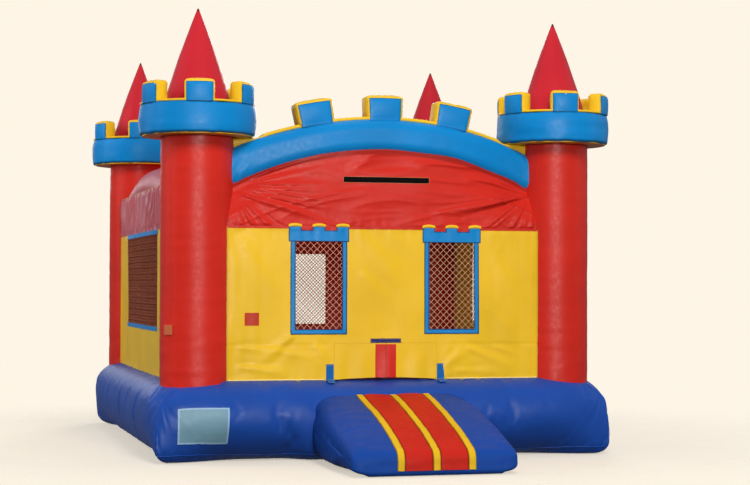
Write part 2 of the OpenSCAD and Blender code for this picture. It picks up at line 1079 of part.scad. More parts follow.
// Strips that run down the slope and over the front edge
module ramp_strip(middle, width) {
  translate([middle, 0, 0])
    ramp_sweep(width)
      difference() {
        intersection() {
          ramp_outline(tread_t);
          translate([tread_back_gap, tread_foot_z])
            square([ramp_l, base_h]);
        }
        ramp_outline();
      }
}

module ramp_stripes() {
  color(yellow)
    for (i = [-1 : 1])
      ramp_strip(i * (stripe_w + tread_w), stripe_w);
}

module ramp_treads() {
  color(red)
    for (i = [-0.5, 0.5])
      ramp_strip(i * (stripe_w + tread_w), tread_w);
}

// A short sleeve that a fan would be tied into, with a hemmed mouth
module inlet_sleeve() {
  color(royal_blue)
    translate([inlet_x, fitting_y, swell_z])
      rotate([-90, 0, 0])
        difference() {
          union() {
            cylinder(r = inlet_r + inlet_wall, h = inlet_l);
            translate([0, 0, inlet_l - inlet_hem])
              cylinder(r = inlet_r + 2 * inlet_wall, h = inlet_hem);
          }
          translate([0, 0, -cut])
            cylinder(r = inlet_r, h = inlet_l + 2 * cut);
        }
}

// The tape of the deflation zip with its raised chain
module zip_tape() {
  color(black)
    translate([zip_x - zip_l / 2, fitting_y, swell_z]) {
      translate([0, 0, -zip_tape_h / 2])
        cube([zip_l, zip_tape_t, zip_tape_h]);
      translate([0, 0, -zip_chain_h / 2])
        cube([zip_l, zip_tape_t + zip_chain_t, zip_chain_h]);
    }
}

// A slider that straddles the chain, with a pull below it
module zip_slider() {
  color(steel)
    translate([slider_start_x, fitting_y + zip_tape_t + seat_gap, swell_z])
      difference() {
        union() {
          translate([-slider_l / 2, 0, -slider_h / 2])
            cube([slider_l, slider_t, slider_h]);
          translate([-pull_w / 2, slider_t / 2, -slider_h / 2 - pull_l])
            cube([pull_w, slider_t / 4, pull_l + slider_h / 2]);
        }
        translate([-slider_l, -cut, -zip_chain_h / 2 - seat_gap])
          cube([2 * slider_l, cut + zip_chain_t, zip_chain_h + 2 * seat_gap]);
      }
}

// Webbing tabs on the back, each with a loop around its ring's bar
module anchor_tabs() {
  color(black)
    for (side = SIDES)
      translate([side * anchor_x, 0, swell_z])
        difference() {
          union() {
            translate([-loop_half, fitting_y, loop_r / 2])
              cube([2 * loop_half, webbing_t, anchor_tab_h]);
            translate([-loop_half, loop_y, 0])
              rotate([0, 90, 0])
                cylinder(r = loop_outer_r, h = 2 * loop_half);
          }
          translate([-loop_half - cut, loop_y, 0])
            rotate([0, 90, 0])
              cylinder(r = loop_r, h = 2 * (loop_half + cut));
        }
}

// A steel ring with a straight bar, hanging from its loop
module anchor_ring(side) {
  color(steel)
    translate([side * anchor_x, loop_y, swell_z]) {
      translate([-anchor_ring_r, 0, 0])
        rotate([0, 90, 0])
          cylinder(r = anchor_rod_r, h = 2 * anchor_ring_r);
      rotate([90, 0, 0])
        rotate([0, 0, 180])
          rotate_extrude(angle = 180)
            translate([anchor_ring_r, 0])
              circle(ring_round_r);
    }
}

module anchor_ring_left() {
  anchor_ring(LEFT);
}

module anchor_ring_right() {
  anchor_ring(RIGHT);
}

base_front_tube();
base_back_tube();
base_left_tube();
base_right_tube();
bounce_floor();
column_front_left();
column_front_right();
column_back_left();
column_back_right();
collar_front_left();
collar_front_right();
collar_back_left();
collar_back_right();
crown_front_left();
crown_front_right();
crown_back_left();
crown_back_right();
cone_front_left();
cone_front_right();
cone_back_left();
cone_back_right();
tower_merlon_faces();
tower_soffits();
front_arch();
arch_crown();
arch_merlon_faces();
side_beam_left();
side_beam_right();
back_beam();
roof_sheet();
front_wall_lower();
front_wall_upper();
back_wall_lower();
back_wall_upper();
left_wall_lower();
left_wall_upper();
right_wall_lower();
right_wall_upper();
front_window_surrounds();
window_strips();
hook_strip();
front_window_nets();
left_window_net();
right_window_net();
back_window_net();
door_flap_left();
door_flap_right();
door_grip_left();
door_grip_right();
door_bar();
hold_down_straps();
ramp_cushion();
ramp_treads();
ramp_stripes();
inlet_sleeve();
zip_tape();
zip_slider();
anchor_tabs();
anchor_ring_left();
anchor_ring_right();
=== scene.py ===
"""The looks of an inflatable bounce house, laid out as a Blender add-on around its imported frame.

Metres. The origin is the middle of the base's underside, -Y is the front and +Z is up.
Every shape is a numpy surface: a function of two parameters on a grid, or a profile along a path.
"""

import math

import bpy
import numpy as np
from bpy.props import FloatProperty, FloatVectorProperty, PointerProperty
from mathutils import Matrix, Vector


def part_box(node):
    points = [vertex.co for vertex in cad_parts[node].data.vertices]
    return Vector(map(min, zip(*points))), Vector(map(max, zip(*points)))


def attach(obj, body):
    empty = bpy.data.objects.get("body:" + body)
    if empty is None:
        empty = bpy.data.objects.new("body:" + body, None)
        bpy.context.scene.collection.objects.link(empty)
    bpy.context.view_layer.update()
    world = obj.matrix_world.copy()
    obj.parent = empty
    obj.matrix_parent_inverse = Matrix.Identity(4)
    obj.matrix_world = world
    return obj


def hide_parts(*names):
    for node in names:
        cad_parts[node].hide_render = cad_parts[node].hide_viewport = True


bl_info = {
    "name": "Inflatable Bounce House",
    "version": (1, 0, 0),
    "blender": (4, 5, 0),
    "location": "View3D > Sidebar > Bounce House",
    "description": "Builds the coated fabric, nets and fittings of an inflatable bounce house",
    "category": "Add Mesh",
}

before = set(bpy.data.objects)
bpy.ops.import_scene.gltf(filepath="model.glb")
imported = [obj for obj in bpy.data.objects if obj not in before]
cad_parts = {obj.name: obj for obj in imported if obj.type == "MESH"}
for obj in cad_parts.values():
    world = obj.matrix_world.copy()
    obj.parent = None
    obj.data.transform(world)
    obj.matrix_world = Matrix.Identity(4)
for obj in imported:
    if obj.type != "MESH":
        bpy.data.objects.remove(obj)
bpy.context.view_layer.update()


def corners(*nodes):
    """Lowest and highest corner of some frame nodes together."""
    boxes = [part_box(node) for node in nodes]
    return np.min([low for low, _ in boxes], axis=0), np.max([high for _, high in boxes], axis=0)


# Places and sizes read from the frame
FRONT, RIGHT, BACK, LEFT = range(4)
QUARTERS = {"front": FRONT, "right": RIGHT, "back": BACK, "left": LEFT}
SIDES = {"left": -1, "right": 1}
TOWERS = {"front_left": (-1, -1), "front_right": (1, -1), "back_left": (-1, 1), "back_right": (1, 1)}
_, (BASE_X, BASE_Y, BASE_H) = corners("base_right_tube", "base_back_tube")
_, FLOOR_HIGH = corners("bounce_floor")
COLUMN_LOW, COLUMN_HIGH = corners("column_back_right")
COLUMN_X, COLUMN_Y = (COLUMN_LOW + COLUMN_HIGH)[:2] / 2
COLUMN_R = (COLUMN_HIGH - COLUMN_LOW)[0] / 2
COLLAR_LOW, COLLAR_HIGH = corners("collar_back_right")
COLLAR_R = COLLAR_HIGH[0] - COLUMN_X
COLLAR_Z, COLLAR_TOP = COLLAR_LOW[2], COLLAR_HIGH[2]
SOFFIT_Z = corners("tower_soffits")[0][2]
FACE_OUT = 0.006
CROWN_R = corners("tower_merlon_faces")[1][0] - COLUMN_X - FACE_OUT
CROWN_TOP = corners("crown_back_right")[1][2]
CONE_LOW, CONE_HIGH = corners("cone_back_right")
CONE_R, CONE_TOP = (CONE_HIGH - CONE_LOW)[0] / 2, CONE_HIGH[2]
ARCH_LOW, ARCH_HIGH = corners("front_arch")
ARCH_CROWN_LOW, ARCH_CROWN_HIGH = corners("arch_crown")
SIDE_BEAM_LOW, SIDE_BEAM_HIGH = corners("side_beam_right")
BACK_BEAM_LOW, BACK_BEAM_HIGH = corners("back_beam")
_, (WALL_X, WALL_Y, WALL_SPLIT) = corners(*[f"{side}_wall_lower" for side in QUARTERS])
WALL_HALF_X = corners("front_wall_lower")[1][0]
WALL_HALF_Y = corners("left_wall_lower")[1][1]
SIDE_WALL_TOP = corners("left_wall_upper")[1][2]
RAMP_LOW, RAMP_HIGH = corners("ramp_cushion")
HOOK_LOW, HOOK_HIGH = corners("hook_strip")
DOOR_BAR_LOW, DOOR_BAR_HIGH = corners("door_bar")
FLAP_LOW, FLAP_HIGH = corners("door_flap_right")
STRAP_LOW, STRAP_HIGH = corners("hold_down_straps")
INLET_LOW, INLET_HIGH = corners("inlet_sleeve")
ZIP_LOW, ZIP_HIGH = corners("zip_tape")
TAB_LOW, TAB_HIGH = corners("anchor_tabs")
RING_LOW, RING_HIGH = corners("anchor_ring_right")

# Sizes of the frame that its boxes don't give
ARCH_CENTRE_Z = -0.47
ARCH_R = 3.07
ARCH_TOP_R = ARCH_HIGH[2] - ARCH_CENTRE_Z
ARCH_EDGE_R = 0.11
ARCH_TUCK = 0.105
UPPER_PANEL_R = 3.101
BACK_BEAM_ARC = 3.1575
BEAM_R = 0.175
SIDE_BEAM_RISE = 0.28
ROOF_R = 3.2225
TUBE_W = 0.76
BASE_SWELL = 0.025
WALL_T = 0.003
MERLON_HALF = math.radians(31 / 2)
MERLON_ANGLES = np.radians(-97 + 60 * np.arange(6))
CROWN_MERLON_HALF = 0.118
CROWN_T = 0.125
CROWN_BAND_H = 0.02
ARCH_MERLON_STEP = 0.62
ARCH_MERLON_HALF = 0.16
FRONT_WINDOW_X, FRONT_WINDOW_W, FRONT_WINDOW_Z, FRONT_WINDOW_H = 0.59, 0.41, 1.095, 0.75
FRONT_WINDOW_TOP = FRONT_WINDOW_Z + FRONT_WINDOW_H
FRONT_WINDOWS = (-FRONT_WINDOW_X, FRONT_WINDOW_X)
SIDE_WINDOW = {"width": 2.1, "low": 1.095, "high": 1.925}
BACK_WINDOW = {"width": 0.94, "low": 1.05, "high": 1.81}
FRAME_W, STRIP_W = 0.038, 0.04
HEADER_STEP, HEADER_TOP, HEADER_NOTCH = 0.104, FRONT_WINDOW_TOP + 0.138, 0.048
DOOR_HALF = 0.455
DOOR_Z = DOOR_BAR_LOW[2]
SEAM_Z = 0.965
RAMP_EDGE_R = 0.1
RAMP_FRONT_Z = 0.19
STRIPE_W, TREAD_W = 0.062, 0.226
ANCHOR_BAR_Z = 0.33

# Laps, seats and seeds that several pieces share
WALL_LAP = 0.006
SEAM_LAP = 0.004
SKIN_OVERLAP = 0.012
TRIM_SINK = 0.001
FACE_BORDER = 0.02
FACE_SINK = 0.004
UPPER_LIFT = 0.0005
FRONT_UPPER_SEED, BACK_SEED = 81, 151
FLAP_RISE = 0.016

# Cloth simulation and shading
AIR_PRESSURE, CLOTH_SLACK, CLOTH_FRAMES = 4.0, 0.015, 12
SHARP_ANGLE = math.radians(48)
# The last two give how dark and how wide the wall panels' edges are darkened: dark seam lines with painted
# shade in the crevices beside them
RIM_DARK, SEAM_SHADE_DARK, SEAM_SHADE_REACH = 0.85, 0.6, 0.008

# Bare places: x and z of a panel on the base and of a patch on the front wall, and one on a column
BASE_PANEL_X, BASE_PANEL_Z, BASE_PANEL_RIM = (-1.80, -1.41), (0.178, 0.448), 0.014
WALL_PATCH_X, WALL_PATCH_Z = (-1.229, -1.106), (1.13, 1.238)
COLUMN_PATCH_DEG, COLUMN_PATCH_Z = (-157, -139), (1.055, 1.137)

# The slot name for each colour of coated fabric
SLOTS = {
    "red": "red_fabric",
    "rose": "red_fabric",
    "rust": "red_fabric",
    "tan": "red_fabric",
    "cone_red": "crimson_fabric",
    "yellow": "yellow_fabric",
    "hem": "yellow_fabric",
    "sky_blue": "sky_blue_fabric",
    "teal": "sky_blue_fabric",
    "pale": "sky_blue_fabric",
    "piping": "sky_blue_fabric",
    "royal_blue": "royal_blue_fabric",
    "black": "black_webbing",
}


def linear(*levels):
    """Colour levels from 0 to 255 as the linear values that shaders take."""
    share = np.array(levels) / 255
    return tuple(np.where(share <= 0.04045, share / 12.92, ((share + 0.055) / 1.055) ** 2.4))


def shade(name, description, *levels):
    """A colour that a user may change."""
    return FloatVectorProperty(
        name=name, description=description, default=linear(*levels), subtype="COLOR", min=0, max=1
    )


def length(name, description, default):
    """A size that a user may change."""
    return FloatProperty(
        name=name, description=description, default=default, unit="LENGTH", min=0, precision=4
    )


class HouseColours(bpy.types.PropertyGroup):
    """Colours of the coated fabric and the fittings"""

    red: shade("Red", "Columns, upper panels, treads and roof", 202, 40, 28)
    cone_red: shade("Cone red", "The four cones", 190, 34, 46)
    # Painted sheen: a paler, pinker copy of the red for the upper side panels and side beams, standing in for
    # their pale sheen at grazing angles
    rose: shade("Rose", "Upper side panels and side beams", 189, 92, 101)
    yellow: shade("Yellow", "Lower wall panels, merlons and stripes", 234, 188, 36)
    sky_blue: shade("Sky blue", "Arch, collars, merlon faces and edging", 6, 128, 198)
    royal_blue: shade("Royal blue", "Base, floor and ramp", 26, 72, 160)
    navy: shade("Navy", "Bar over the door and straps", 42, 52, 104)
    cord: shade("Net cord", "Netting in the front windows", 240, 178, 148)
    # Painted shade: a darker copy of the net cord colour for the nets in the side and back windows, which lie
    # in shade
    dark_cord: shade("Dark net cord", "Netting in the side and back windows", 156, 86, 60)
    black: shade("Black", "Hook strip, zip and webbing", 13, 10, 11)
    pale: shade("Pale", "Outlines of bare panels", 152, 186, 216)
    teal: shade("Teal", "Bare panel on the base", 116, 156, 174)
    piping: shade("Piping", "Piping of the window edging", 14, 58, 104)
    # Painted highlight: the hem cord is real, but its paler yellow stands in for the highlight along it
    hem: shade("Hem", "Hem along the foot of the front wall", 250, 228, 150)
    strap: shade("Strap", "Hold-down straps", 30, 100, 170)
    rust: shade("Rust", "Bare patch on the front wall", 188, 54, 30)
    tan: shade("Tan", "Bare patch on a column", 190, 100, 62)
    steel: shade("Steel", "Anchor rings and zip slider", 176, 180, 186)
    backdrop: shade("Backdrop", "Studio floor and background", 254, 245, 230)


class HouseSizes(bpy.types.PropertyGroup):
    """Sizes of the folds, seams and cords"""

    fold: length("Fold depth", "Depth of the drawn creases in the wall panels", 0.02)
    sway: length("Sway", "Height of the broad waves in loose panels", 0.007)
    pucker: length("Pucker depth", "Depth of the gathers along a sewn seam", 0.0045)
    pleat: length("Pleat depth", "Depth of the pleats in the upper side panels", 0.017)
    mesh: length("Net mesh", "Diagonal of a diamond in the nets", 0.056)
    cord_r: length("Cord radius", "Radius of a net cord", 0.0019)
    welt_r: length("Welt radius", "Radius of the welts and piping", 0.0045)
    trim: length("Trim thickness", "Thickness of edging, straps and patches", 0.003)
    stitch: length("Stitch", "Length of a stitch", 0.008)


# Number helpers


def smooth(share):
    """A step from 0 to 1 with level ends: 3 t^2 - 2 t^3."""
    share = np.clip(share, 0, 1)
    return share * share * (3 - 2 * share)


def lerp(start, end, share):
    """The value at a share of the way from start to end."""
    return start + (end - start) * share


def bell(distance, width):
    """exp(-(distance / width)^2)."""
    return np.exp(-((distance / width) ** 2))


def drift(x, y, cell, seed, around=None):
    """Smooth noise from -1 to 1: random values on a lattice with that cell, blended with smooth steps.

    around is the number of cells after which x repeats.
    """
    column, row = np.floor(x / cell), np.floor(y / cell)
    right, up = smooth(x / cell - column), smooth(y / cell - row)

    def corner(i, j):
        at = (column + i) % around if around else column + i
        value = np.sin(at * 127.1 + (row + j) * 311.7 + seed * 74.7) * 43758.5453
        return 2 * (value - np.floor(value)) - 1

    return lerp(lerp(corner(0, 0), corner(1, 0), right), lerp(corner(0, 1), corner(1, 1), right), up)


def gathers(along, away, pitch, reach, seed, around=None):
    """Gathers beside a seam, from -1 to 1: noise along the seam that fades as exp(-away / reach)."""
    fade = np.exp(-np.maximum(away, 0) / reach)
    return fade * drift(along, 0.25 * away, pitch, seed, around)


def creases(x, y, lines):
    """Relief of drawn creases at points (x, y), from the rows (x0, y0, x1, y1, width, depth) of lines.

    Each is a ridge exp(-(d/w)^2) beside a hollow 0.55 exp(-((d - 1.5 w)/w)^2), where d is the distance
    from the line and w grows along it. Both ends fade out.
    """
    x0, y0, x1, y1, width, depth = np.asarray(lines).T[:, :, None, None]
    run = np.hypot(x1 - x0, y1 - y0)
    east, north = (x1 - x0) / run, (y1 - y0) / run
    along = ((x - x0) * east + (y - y0) * north) / run
    across = (y - y0) * east - (x - x0) * north
    spread = width * (0.45 + 0.75 * np.clip(along, 0, 1))
    fade = smooth(along / 0.12) * smooth((1 - along) / 0.45)
    return (depth * fade * (bell(across, spread) - 0.55 * bell(across - 1.5 * spread, spread))).sum(axis=0)


def stops(step, *places):
    """Grid lines about a step apart that pass through all the places."""
    places = sorted(set(places))
    parts = [
        np.linspace(a, b, max(2, math.ceil((b - a) / step) + 1)) for a, b in zip(places[:-1], places[1:])
    ]
    return np.unique(np.concatenate(parts).round(6))


def arc(x, y, radius, first, last, count):
    """Points on an arc about (x, y) between two angles in degrees."""
    angle = np.radians(np.linspace(first, last, count))
    return np.column_stack([x + radius * np.cos(angle), y + radius * np.sin(angle)])


def full_turn(count):
    """Angles in equal steps once round."""
    return np.linspace(0, 2 * math.pi, count, endpoint=False)


def evenly(points, count, closed=True):
    """A polyline's points moved to equal steps along it."""
    line = np.vstack([points, points[:1]]) if closed else np.asarray(points)
    way = np.concatenate([[0], np.cumsum(np.linalg.norm(np.diff(line, axis=0), axis=1))])
    at = np.linspace(0, way[-1], count, endpoint=not closed)
    return np.column_stack([np.interp(at, way, axis) for axis in line.T])


def unit(vectors):
    """Vectors of length 1."""
    return vectors / np.linalg.norm(vectors, axis=-1, keepdims=True)


def ring_normals(ring):
    """Outward normals of a closed outline that runs clockwise, from its neighbours' difference."""
    tangent = np.roll(ring, -1, axis=0) - np.roll(ring, 1, axis=0)
    return unit(np.column_stack([-tangent[:, 1], tangent[:, 0]]))


def grid(u, v):
    """Two rows of values as a grid."""
    return np.meshgrid(u, v, indexing="ij")


def xyz(x, y, z):
    """Points from their coordinates, whose shapes may differ."""
    return np.stack(np.broadcast_arrays(x, y, z), axis=-1)


# Surface helpers: a surface is its points and its four-cornered faces


def patch(points, closed_u=False, closed_v=False):
    """A grid of points (u, v, 3) and the faces between neighbours."""
    count_u, count_v = points.shape[:2]
    number = np.arange(count_u * count_v).reshape(count_u, count_v)
    if closed_u:
        number = np.vstack([number, number[:1]])
    if closed_v:
        number = np.hstack([number, number[:, :1]])
    quads = np.stack([number[:-1, :-1], number[1:, :-1], number[1:, 1:], number[:-1, 1:]], axis=-1)
    return points.reshape(-1, 3), quads.reshape(-1, 4)


def joined(*surfaces):
    """Several surfaces as one."""
    starts = np.cumsum([0] + [len(points) for points, _ in surfaces])
    quads = [faces + start for (_, faces), start in zip(surfaces, starts)]
    return np.vstack([points for points, _ in surfaces]), np.vstack(quads)


def outward(surface):
    """A closed surface with its faces turned out, by the sign of its volume."""
    points, quads = surface
    a, b, c, d = (points[quads[:, k]] - points.mean(axis=0) for k in range(4))
    volume = (np.cross(a, b) * c).sum() + (np.cross(a, c) * d).sum()
    return (points, quads) if volume > 0 else (points, quads[:, ::-1])


def tube_quads(stations, ring):
    """Faces of a closed tube with an even ring: its side, and a ladder of faces over each end."""
    _, side = patch(np.zeros((stations, ring, 3)), closed_v=True)
    k = np.arange(ring // 2 - 1)
    lid = np.column_stack([k, k + 1, ring - 2 - k, ring - 1 - k])
    return np.vstack([side, lid, lid[:, ::-1] + (stations - 1) * ring])


def closed_tube(points):
    """A grid of stations and rings (u, v, 3) as a tube with both ends closed."""
    return outward((points.reshape(-1, 3), tube_quads(*points.shape[:2])))


def torus(points):
    """A grid that closes on itself both ways."""
    return outward(patch(points, True, True))


def slab(front, back, keep=None):
    """Two grids of the same shape closed to a thin solid, with a rim along every open edge.

    keep says which of the grid's faces are there.
    """
    points, quads = patch(front)
    if keep is not None:
        quads = quads[keep.ravel()]
    count = len(points)
    edges = np.concatenate([quads[:, [k, (k + 1) % 4]] for k in range(4)])
    _, number, uses = np.unique(np.sort(edges, axis=1) @ (count, 1), return_inverse=True, return_counts=True)
    rim = edges[uses[number] == 1]
    quads = np.vstack([quads, quads[:, ::-1] + count, np.column_stack([rim[:, ::-1], rim + count])])
    used, quads = np.unique(quads.ravel(), return_inverse=True)
    return np.vstack([points, back.reshape(-1, 3)])[used], quads.reshape(-1, 4)


def cube_grid(counts):
    """The surface of a cube from -1 to 1 as one closed grid, closer towards the edges."""
    lines = [np.sin(np.linspace(-math.pi / 2, math.pi / 2, count + 1)) for count in counts]
    faces = []
    for axis in range(3):
        along, across = (axis + 1) % 3, (axis + 2) % 3
        u, v = grid(lines[along], lines[across])
        for side in (1, -1):
            face = np.empty(u.shape + (3,))
            face[..., axis], face[..., along], face[..., across] = side, u, v
            points, quads = patch(face)
            faces.append((points, quads[:, ::side]))
    points, quads = joined(*faces)
    points, number = np.unique(points.round(9) + 0.0, axis=0, return_inverse=True)
    return points, number.ravel()[quads]


def puffed(half, edge, swell, counts):
    """A box of half sizes whose edges are rounded and whose faces swell towards their middles.

    A point is its nearest core point plus the edge radius, and swell times the product of
    1 - (p/half)^2 over the two directions along its face.
    """
    cube, quads = cube_grid(counts)
    half = np.asarray(half)
    box = cube * half
    core = np.clip(box, edge - half, half - edge)
    away = unit(box - core)
    room = np.clip(1 - cube**2, 1e-9, 1) ** (1 - np.abs(away))
    return core + away * (edge + swell * room.prod(axis=1, keepdims=True)), quads


def ribbon(path, across, width, thickness):
    """A flat strap along a path (n, 3): a rounded oblong section with its width along across."""
    path, across = np.asarray(path, float), np.asarray(across, float)
    out = unit(np.cross(np.gradient(path, axis=0), across))
    edge = thickness / 2
    flat = width / 2 - edge
    row = np.column_stack([np.linspace(flat, -flat, 9)[1:-1], np.full(7, edge)])
    section = np.vstack([arc(flat, 0, edge, -90, 90, 5), row, arc(-flat, 0, edge, 90, 270, 5), -row])
    return closed_tube(path[:, None] + section[:, :1] * across + section[:, 1:] * out[:, None])


def cords(centres, side, out, radius, sides=6):
    """Round cords along centre lines (cord, station, 3): circles in the plane of side and out."""
    angle = full_turn(sides)[:, None]
    circle = radius * (np.cos(angle) * np.asarray(side) + np.sin(angle) * np.asarray(out))
    points = centres[:, :, None] + circle
    count, stations = centres.shape[:2]
    quads = tube_quads(stations, sides) + (np.arange(count) * stations * sides)[:, None, None]
    return outward((points.reshape(-1, 3), quads.reshape(-1, 4)))


def stitches(path, out, size):
    """A row of stitches along a path: spindles of length size, a third of that apart, that lie on out."""
    path = np.asarray(path, float)
    run = np.linalg.norm(np.diff(path, axis=0), axis=1).sum()
    count = max(2, int(run / (1.35 * size)))
    middle = evenly(path, 2 * count + 1, closed=False)
    tangent, out = unit(middle[2::2] - middle[:-2:2])[:, None, None], np.asarray(out, float)
    stations, sides = 5, 6
    along = np.linspace(-0.5, 0.5, stations)[:, None, None]
    girth = 0.12 * size * np.sqrt(np.clip(1.03 - (2 * along) ** 2, 0, 1))
    angle = full_turn(sides)[:, None]
    circle = girth * (np.cos(angle) * np.cross(tangent, out) + np.sin(angle) * out)
    points = middle[1::2, None, None] + size * along * tangent + circle
    quads = tube_quads(stations, sides) + (np.arange(count) * stations * sides)[:, None, None]
    return outward((points.reshape(-1, 3), quads.reshape(-1, 4)))


def around(angle, radius, height):
    """Points about the upright axis."""
    return xyz(radius * np.cos(angle), radius * np.sin(angle), height)


def lathe(profile, count, relief=None, closed=False):
    """An outline (r, z) turned about the upright axis, moved along its normal by relief(turn, r, z).

    turn is the share of a full turn.
    """
    turn = np.linspace(0, 1, count, endpoint=False)
    if closed:
        normal = ring_normals(profile)
    else:
        normal = unit(np.column_stack([np.gradient(profile[:, 1]), -np.gradient(profile[:, 0])]))
    shift = relief(turn[None], profile[:, :1], profile[:, 1:]) if relief else 0.0
    radius = profile[:, :1] + normal[:, :1] * shift
    points = around(2 * math.pi * turn, radius, profile[:, 1:] + normal[:, 1:] * shift)
    return torus(points) if closed else closed_tube(points)


def moved(surface, x=0, y=0, z=0):
    """A surface at another place."""
    return surface[0] + (x, y, z), surface[1]


def turned(points, quarter):
    """Points turned about the upright axis by quarter turns: front, right, back, left."""
    cosine, sine = ((1, 0), (0, 1), (-1, 0), (0, -1))[quarter]
    x, y, z = np.moveaxis(points, -1, 0)
    return xyz(cosine * x - sine * y, sine * x + cosine * y, z)


def stood(across, out, up, quarter):
    """Points on a wall: across it, out from its outer face, and up."""
    reach = WALL_Y if quarter in (FRONT, BACK) else WALL_X
    return turned(xyz(across, -reach - out, up), quarter)


def panel(across, up, relief, low, high, quarter, keep=None, shape=None):
    """A sheet on a wall: a grid of lines across and up, from low to high over the wall's relief.

    keep(across, up) says which faces are there, by their middles, and shape moves the grid's points.
    """
    a, b = grid(across, up)
    kept = None
    if keep:
        middle = [(g[:-1, :-1] + g[1:, 1:]) / 2 for g in (a, b)]
        kept = keep(*middle)
    if shape:
        a, b = shape(a, b)
    out = relief(a, b)
    return slab(stood(a, out + high, b, quarter), stood(a, out + low, b, quarter), kept)


def seam_shaded(surface, half, low, high, quarter):
    """How dark each point of a wall's sheet is, near its side edges and its heights low and high: a dark seam
    line with painted shade in the crevice beside it.
    """
    points = surface[0]
    across = np.abs(points[:, 0 if quarter in (FRONT, BACK) else 1])
    top = high(across) if callable(high) else high
    away = np.minimum(np.minimum(half - across, points[:, 2] - low), top - points[:, 2])
    return SEAM_SHADE_DARK * bell(np.maximum(away, 0), SEAM_SHADE_REACH)


def rimmed(*slabs):
    """How dark each point of some slabs is: dark at the rims, where a face joins front and back points."""
    shares = []
    for points, quads in slabs:
        front = quads < len(points) // 2
        rim = quads[front.any(axis=1) & ~front.all(axis=1)]
        dark = np.zeros(len(points))
        dark[rim.ravel()] = RIM_DARK
        shares.append(dark)
    return np.concatenate(shares)


def add_mesh(name, surface):
    """An object with a surface's points and faces."""
    points, quads = surface
    mesh = bpy.data.meshes.new(name)
    mesh.vertices.add(len(points))
    mesh.vertices.foreach_set("co", np.ascontiguousarray(points, np.float32).ravel())
    mesh.loops.add(quads.size)
    mesh.loops.foreach_set("vertex_index", np.ascontiguousarray(quads, np.int32).ravel())
    mesh.polygons.add(len(quads))
    mesh.polygons.foreach_set("loop_start", np.arange(0, quads.size, 4, dtype=np.int32))
    mesh.update(calc_edges=True)
    made = bpy.data.objects.new(name, mesh)
    bpy.context.scene.collection.objects.link(made)
    return made


def blown(surface, held, most):
    """How far a closed surface's points move when it is blown up, by cloth simulation.

    Air presses from inside, the held points are pinned and the cloth has a little slack. A move m is
    shortened to most * tanh(|m| / most), so that the chamber keeps its place.
    """
    points = surface[0]
    scene = bpy.context.scene
    cloth = add_mesh("cloth", surface)
    mesh = cloth.data
    group = cloth.vertex_groups.new(name="held")
    group.add(np.flatnonzero(held).tolist(), 1.0, "REPLACE")
    settings = cloth.modifiers.new("cloth", "CLOTH").settings
    settings.vertex_group_mass = group.name
    settings.quality, settings.mass = 5, 0.25
    settings.tension_stiffness, settings.compression_stiffness = 25, 25
    settings.shear_stiffness, settings.bending_stiffness = 10, 0.3
    settings.use_pressure, settings.uniform_pressure_force = True, AIR_PRESSURE
    settings.shrink_min = settings.shrink_max = -CLOTH_SLACK
    settings.effector_weights.gravity = 0
    for number in range(1, CLOTH_FRAMES + 1):
        scene.frame_set(number)
    shaped = cloth.evaluated_get(bpy.context.evaluated_depsgraph_get()).data
    place = np.empty(points.size, np.float32)
    shaped.vertices.foreach_get("co", place)
    move = place.reshape(-1, 3) - points
    far = np.maximum(np.linalg.norm(move, axis=1, keepdims=True), 1e-9)
    bpy.data.objects.remove(cloth)
    bpy.data.meshes.remove(mesh)
    scene.frame_set(1)
    return move * most * np.tanh(far / most) / far


def between(values, u, v):
    """A grid's values at fractional line numbers, blended from the four neighbours. v goes round."""
    i, j = np.clip(np.floor(u).astype(int), 0, len(values) - 2), np.floor(v).astype(int)
    right, up = (u - i)[..., None], (v - j)[..., None]
    j, k = j % values.shape[1], (j + 1) % values.shape[1]
    low, high = lerp(values[i, j], values[i + 1, j], right), lerp(values[i, k], values[i + 1, k], right)
    return lerp(low, high, up)


def inflated(points, held, most):
    """A closed tube's grid (u, v, 3) blown up: every second line is simulated, with blends between them."""
    coarse = points[::2, ::2]
    move = blown(closed_tube(coarse), held[::2, ::2].ravel(), most).reshape(coarse.shape)
    u, v = grid(np.arange(points.shape[0]) / 2, np.arange(points.shape[1]) / 2)
    return points + between(move, u, v)


def add_piece(name, surface, finish, slot, *nodes, body="house", seam=None):
    """Makes a surface an object that rides on a body, with its finish and the frame nodes it stands for.

    seam is how dark each point is.
    """
    piece = add_mesh(name, surface)
    mesh = piece.data
    mesh.shade_smooth()
    mesh.set_sharp_from_angle(angle=SHARP_ANGLE)
    dark = np.zeros(len(surface[0])) if seam is None else seam
    mesh.attributes.new("seam", "FLOAT", "POINT").data.foreach_set("value", dark.astype(np.float32))
    mesh.materials.append(finish)
    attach(piece, body)
    if nodes:
        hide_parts(*nodes)
    return piece


def fabric_piece(name, surface, colour, *nodes, trodden=False, fill=None, **options):
    """Adds a piece of coated fabric. fill is not used."""
    piece = add_piece(name, surface, coated_fabric(colour, trodden), SLOTS[colour], *nodes, **options)
    return piece


# Finishes


def colours():
    """The colours in use."""
    return bpy.context.scene.house_colours


def sizes():
    """The sizes in use."""
    return bpy.context.scene.house_sizes


class Nodes:
    """A node tree and helpers that fill it."""

    def __init__(self, tree):
        self.nodes, self.links = tree.nodes, tree.links

    def put(self, value, socket):
        """Links a socket to an input, or sets the input's value."""
        if isinstance(value, bpy.types.NodeSocket):
            self.links.new(value, socket)
        else:
            socket.default_value = value

    def node(self, kind, values=(), **settings):
        """A node with some settings and inputs."""
        made = self.nodes.new(kind)
        for key, value in settings.items():
            setattr(made, key, value)
        for key, value in dict(values).items():
            self.put(value, made.inputs[key])
        return made


